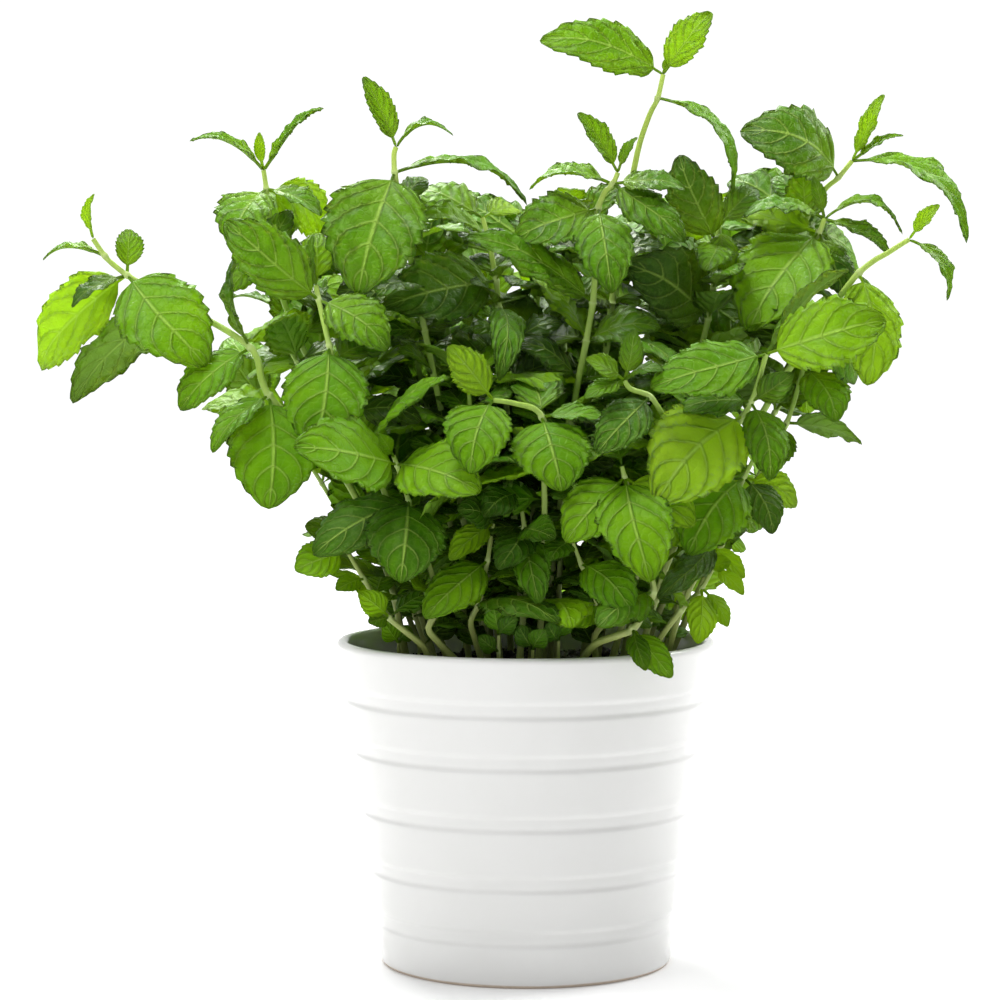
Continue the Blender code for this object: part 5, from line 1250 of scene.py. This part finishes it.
def soil_finish():
    """Damp potting soil, nearly black, with a few brown fibres."""
    mat, plan = new_material("dark_soil")
    place = plan.add("ShaderNodeTexCoord").out("Object")
    clod = plan.grain(place, 240.0, 4.0, 0.65)
    drawn_out = plan.add("ShaderNodeMapping", None, {0: place, "Scale": (1.0, 0.2, 0.6)})
    fibre = plan.grain(drawn_out, 900.0, 1.0)
    colour = plan.add("ShaderNodeValToRGB", {"stops": [
        (0.3, (0.004, 0.003, 0.002)), (0.55, (0.014, 0.010, 0.007)), (0.75, (0.035, 0.024, 0.015))]},
        {"Fac": clod})
    fibre_brown = (0.09, 0.055, 0.03)
    colour = plan.blend(colour, fibre_brown, fibre.step(0.66, 0.74) * 0.7)
    bump = plan.add("ShaderNodeBump", None,
                    {"Strength": 0.9, "Distance": 0.0012, "Height": clod + fibre * 0.4})
    skin = plan.add("ShaderNodeBsdfPrincipled", None,
                    {"Base Color": colour, "Roughness": 0.98 - 0.3 * clod, "Normal": bump})
    close_finish(plan, skin)
    return mat


def floor_finish():
    """Plain pale floor with a glow of its own that grows away from the pot."""
    mat, plan = new_material("floor")
    place = plan.add("ShaderNodeTexCoord").out("Object")
    colour = plan.blend((0.70, 0.70, 0.70), (0.73, 0.73, 0.73), plan.grain(place, 4.0))
    away = plan.add("ShaderNodeVectorMath", {"operation": "LENGTH"}, {0: place}).out("Value")
    share = 0.18 + away.step(0.05, 0.6) * 0.22 + away.step(0.4, 1.6) * 0.60
    glow = plan.blend((0.0, 0.0, 0.0), (0.8, 0.8, 0.8), share)
    skin = plan.add("ShaderNodeBsdfPrincipled", None,
                    {"Base Color": colour, "Roughness": 0.9, "Specular IOR Level": 0.1,
                     "Emission Color": glow, "Emission Strength": 1.0})
    close_finish(plan, skin)
    return mat


def outside(z):
    """Radius of the pot's straight outer wall at a height."""
    return FOOT_R + (RIM_R - FOOT_R) * z / RIM_Z


def pot_profile():
    """Half section of the pot: foot, outer wall with its ring grooves, rounded lip, inside."""
    line = [(0.0, 1.4), (FOOT_R - 9.0, 1.4), (FOOT_R - 7.6, 0.2), (FOOT_R - 7.0, 0.0), (FOOT_R - 1.4, 0.0),
            (FOOT_R - 0.5, 0.3), (FOOT_R + 0.05, 1.0), (FOOT_R + 0.3, 2.2)]
    groove = [(-6.5, 0.0), (-4.6, 0.0), (-3.8, -0.03), (-3.3, -0.13), (-2.8, -0.36), (-2.3, -0.60),
              (-1.8, -0.73), (-1.2, -0.75), (-0.5, -0.68), (0.3, -0.65), (1.0, -0.69), (1.6, -0.71),
              (2.1, -0.60), (2.6, -0.38), (3.1, -0.16), (3.7, -0.04), (4.6, 0.0), (6.5, 0.0)]
    for z in sorted(GROOVES):
        line += [(outside(z + dz) + dr, z + dz) for dz, dr in groove]
    line += [(outside(112.5), 112.5), (outside(117.6), 117.6), (RIM_R - 0.22, 118.7), (RIM_R - 0.6, 119.4),
             (RIM_R - 1.2, 119.85), (RIM_R - 2.0, RIM_Z), (RIM_R - 2.9, 119.9), (RIM_R - 3.8, 119.4),
             (RIM_R - 4.5, 118.4), (RIM_R - 4.95, 116.8)]
    line += [(outside(112) - WALL, 112.0), (outside(60) - WALL, 60.0), (outside(14) - WALL, 14.0),
             (outside(12) - WALL - 0.8, 11.0), (outside(9) - WALL - 3.5, FLOOR + 0.3),
             (outside(9) - WALL - 6.5, FLOOR), (0.0, FLOOR)]
    return line


def turned(line, sides):
    """Solid of revolution; the first and last points lie on the axis."""
    verts, faces = [Vector((0, 0, line[0][1]))], []
    body = line[1:-1]
    for r, z in body:
        verts += [Vector((r * math.cos(math.tau * k / sides), r * math.sin(math.tau * k / sides), z))
                  for k in range(sides)]
    verts.append(Vector((0, 0, line[-1][1])))
    top = len(verts) - 1
    for k in range(sides):
        a, b = 1 + k, 1 + (k + 1) % sides
        faces.append((0, b, a))
        for i in range(len(body) - 1):
            j = i * sides
            faces.append((a + j, b + j, b + j + sides, a + j + sides))
        j = (len(body) - 1) * sides
        faces.append((a + j, b + j, top))
    return verts, faces


def smooth_object(name, solid, skin):
    """Closed, smooth-shaded mesh from a solid in millimetres."""
    verts, faces = solid
    mesh = bpy.data.meshes.new(name)
    mesh.from_pydata([tuple(p * MM) for p in verts], [], faces)
    bm = bmesh.new()
    bm.from_mesh(mesh)
    bmesh.ops.recalc_face_normals(bm, faces=bm.faces)
    bm.to_mesh(mesh)
    bm.free()
    mesh.shade_smooth()
    mesh.materials.append(skin)
    ob = bpy.data.objects.new(name, mesh)
    bpy.context.scene.collection.objects.link(ob)
    return ob


def soil_solid():
    """Soil that fills the pot to just under the lip, with a lumpy top."""
    gap = WALL + SOIL_GAP
    low, brim = FLOOR + SOIL_GAP, SOIL_Z - 1.5
    line = [(0.0, low), (outside(9) - gap - 4.2, low), (outside(13) - gap, 13.0),
            (outside(60) - gap, 60.0), (outside(brim) - gap, brim)]
    line += [(60.0 * (SOIL_RINGS - k) / SOIL_RINGS, SOIL_Z - 0.5) for k in range(SOIL_RINGS)]
    verts, faces = turned(line + [(0.0, SOIL_Z - 0.3)], SOIL_SIDES)
    for v in verts:
        if v.z > brim + 0.1:
            v.z += 1.1 * noise.noise(v * 0.16) + 0.7 * noise.noise(v * 0.5)
    return verts, faces


def crumb_plan(skin):
    """Loose crumbs scattered over the top of the soil."""
    sizes = [(label, "Float") for label in ("Crumbs", "Smallest", "Largest", "Reach")]
    plan, given = growth_plan("soil crumbs", sizes + [("Seed", "Int")])
    place = plan.add("GeometryNodeInputPosition")
    spot = plan.add("ShaderNodeSeparateXYZ", None, {0: place})
    ring = (spot.out("X") * spot.out("X") + spot.out("Y") * spot.out("Y")) ** 0.5
    open_top = (spot.out("Z") > (SOIL_Z - 1.6) * MM) * (ring < given["Reach"])
    points = plan.add("GeometryNodeDistributePointsOnFaces", {"distribute_method": "RANDOM"},
                      {0: given["Geometry"], "Selection": open_top, "Density": given["Crumbs"],
                       "Seed": given["Seed"]})
    size = plan.add("FunctionNodeRandomValue", {"data_type": "FLOAT"}, {2: 0.0, 3: 1.0, "Seed": 5})
    size = given["Smallest"] + (given["Largest"] - given["Smallest"]) * size ** 4.0
    turn = plan.add("FunctionNodeRandomValue", {"data_type": "FLOAT_VECTOR"},
                    {0: (0.0, 0.0, 0.0), 1: (6.0, 6.0, 6.0), "Seed": 6})
    stretch = plan.add("FunctionNodeRandomValue", {"data_type": "FLOAT_VECTOR"},
                       {0: (0.6, 0.6, 0.5), 1: (1.4, 1.2, 1.0), "Seed": 7})
    ball = plan.add("GeometryNodeMeshIcoSphere", None, {"Radius": 1.0, "Subdivisions": 1})
    crumbs = plan.add("GeometryNodeInstanceOnPoints", None,
                      {"Points": points, "Instance": ball, "Rotation": turn, "Scale": stretch * size})
    crumbs = plan.add("GeometryNodeRealizeInstances", None, {0: crumbs})
    jitter = plan.add("ShaderNodeTexNoise", None, {"Vector": place, "Scale": 700.0}).out("Color")
    jitter = jitter - (0.5, 0.5, 0.5)
    crumbs = plan.add("GeometryNodeSetPosition", None, {"Geometry": crumbs, "Offset": jitter * 0.0012})
    crumbs = plan.add("GeometryNodeSetMaterial", None, {0: crumbs, "Material": skin})
    close_plan(plan, plan.add("GeometryNodeJoinGeometry", None, {0: [given["Geometry"], crumbs]}))
    return plan


def add_camera():
    data = bpy.data.cameras.new("camera")
    data.lens, data.sensor_width = 115.2, 36.0
    data.clip_start, data.clip_end = 0.05, 50.0
    ob = bpy.data.objects.new("camera", data)
    ob.location = (-0.0096, -1.18, 0.2435)
    ob.rotation_euler = (math.radians(86.5), 0.0, 0.0)
    bpy.context.scene.collection.objects.link(ob)
    bpy.context.scene.camera = ob


def add_panel(name, spot, aim, size, power):
    """Soft white studio panel that looks at a point."""
    data = bpy.data.lights.new(name, "AREA")
    data.shape, data.size, data.energy = "SQUARE", size, power
    ob = bpy.data.objects.new(name, data)
    ob.location = spot
    ob.rotation_euler = (Vector(aim) - Vector(spot)).to_track_quat("-Z", "Y").to_euler()
    bpy.context.scene.collection.objects.link(ob)


def add_studio():
    """Bright room behind and above, quieter in front, on a plain pale floor."""
    world = bpy.data.worlds.new("studio")
    bpy.context.scene.world = world
    world.use_nodes = True
    world.node_tree.nodes.clear()
    plan = Plan(world.node_tree)
    way = plan.add("ShaderNodeSeparateXYZ", None, {0: plan.add("ShaderNodeTexCoord").out("Generated")})
    back = way.out("Y").step(0.1, 0.96)
    left = (0 - way.out("X")).step(-0.4, 0.9)
    glow = 0.38 + 0.70 * back + 0.18 * left * (1 - back)
    sky = plan.add("ShaderNodeBackground", None, {"Color": (1.0, 1.0, 1.0), "Strength": glow})
    plan.add("ShaderNodeOutputWorld", None, {0: sky})
    for name, spot, height, size, power in (
            ("back_panel", (-0.3, 0.75, 1.05), 0.27, 0.5, 16.0),
            ("right_back_panel", (0.7, 0.4, 0.95), 0.27, 0.5, 10.0),
            ("front_left_panel", (-0.75, -0.6, 1.1), 0.30, 0.35, 3.4),
            ("top_panel", (-0.25, -0.15, 1.25), 0.25, 0.3, 9.0)):
        add_panel(name, spot, (0, 0, height), size, power)
    add_floor()


def add_floor():
    mesh = bpy.data.meshes.new("floor")
    corners = ((-1, -1), (1, -1), (1, 1), (-1, 1))
    mesh.from_pydata([(FLOOR_REACH * x, FLOOR_REACH * y, 0) for x, y in corners], [], [(0, 1, 2, 3)])
    mesh.materials.append(floor_finish())
    floor = bpy.data.objects.new("floor", mesh)
    bpy.context.scene.collection.objects.link(floor)


def seat(piece, node):
    """Sets a piece on the root body and hides the node that it stands for."""
    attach(piece, "root")
    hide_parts(node)


def add_pot_and_soil():
    pot = smooth_object("glazed_pot", turned(pot_profile(), POT_SIDES), glaze_finish())
    seat(pot, "pot")
    skin = soil_finish()
    soil = smooth_object("potting_soil", soil_solid(), skin)
    grow(soil, crumb_plan(skin), {"Crumbs": 130000.0, "Smallest": 0.0005, "Largest": 0.0028,
                                  "Reach": 0.0595, "Seed": 11})
    seat(soil, "soil")


def add_shoots():
    bush = grow_bush()
    plan = shoot_plan(leaf_finish(), stem_finish())
    for stem in bush.stems:
        young = stem.name.startswith("sprout")
        leaves = [leaf for leaf in bush.leaves if leaf.shoot == stem.name]
        shaded = [] if young else inner_leaves(stem)
        shoot = skeleton("mint_" + stem.name, stem, leaves, shaded)
        grow(shoot, plan, {"Skin": 0.15, "Stalk": 0.6, "Wave": 1.0, "Droop": 1.0, "Corner": 0.55})
        seat(shoot, stem.name)


add_camera()
add_pot_and_soil()
add_shoots()
add_studio()
bpy.context.scene.view_settings.view_transform = "Standard"
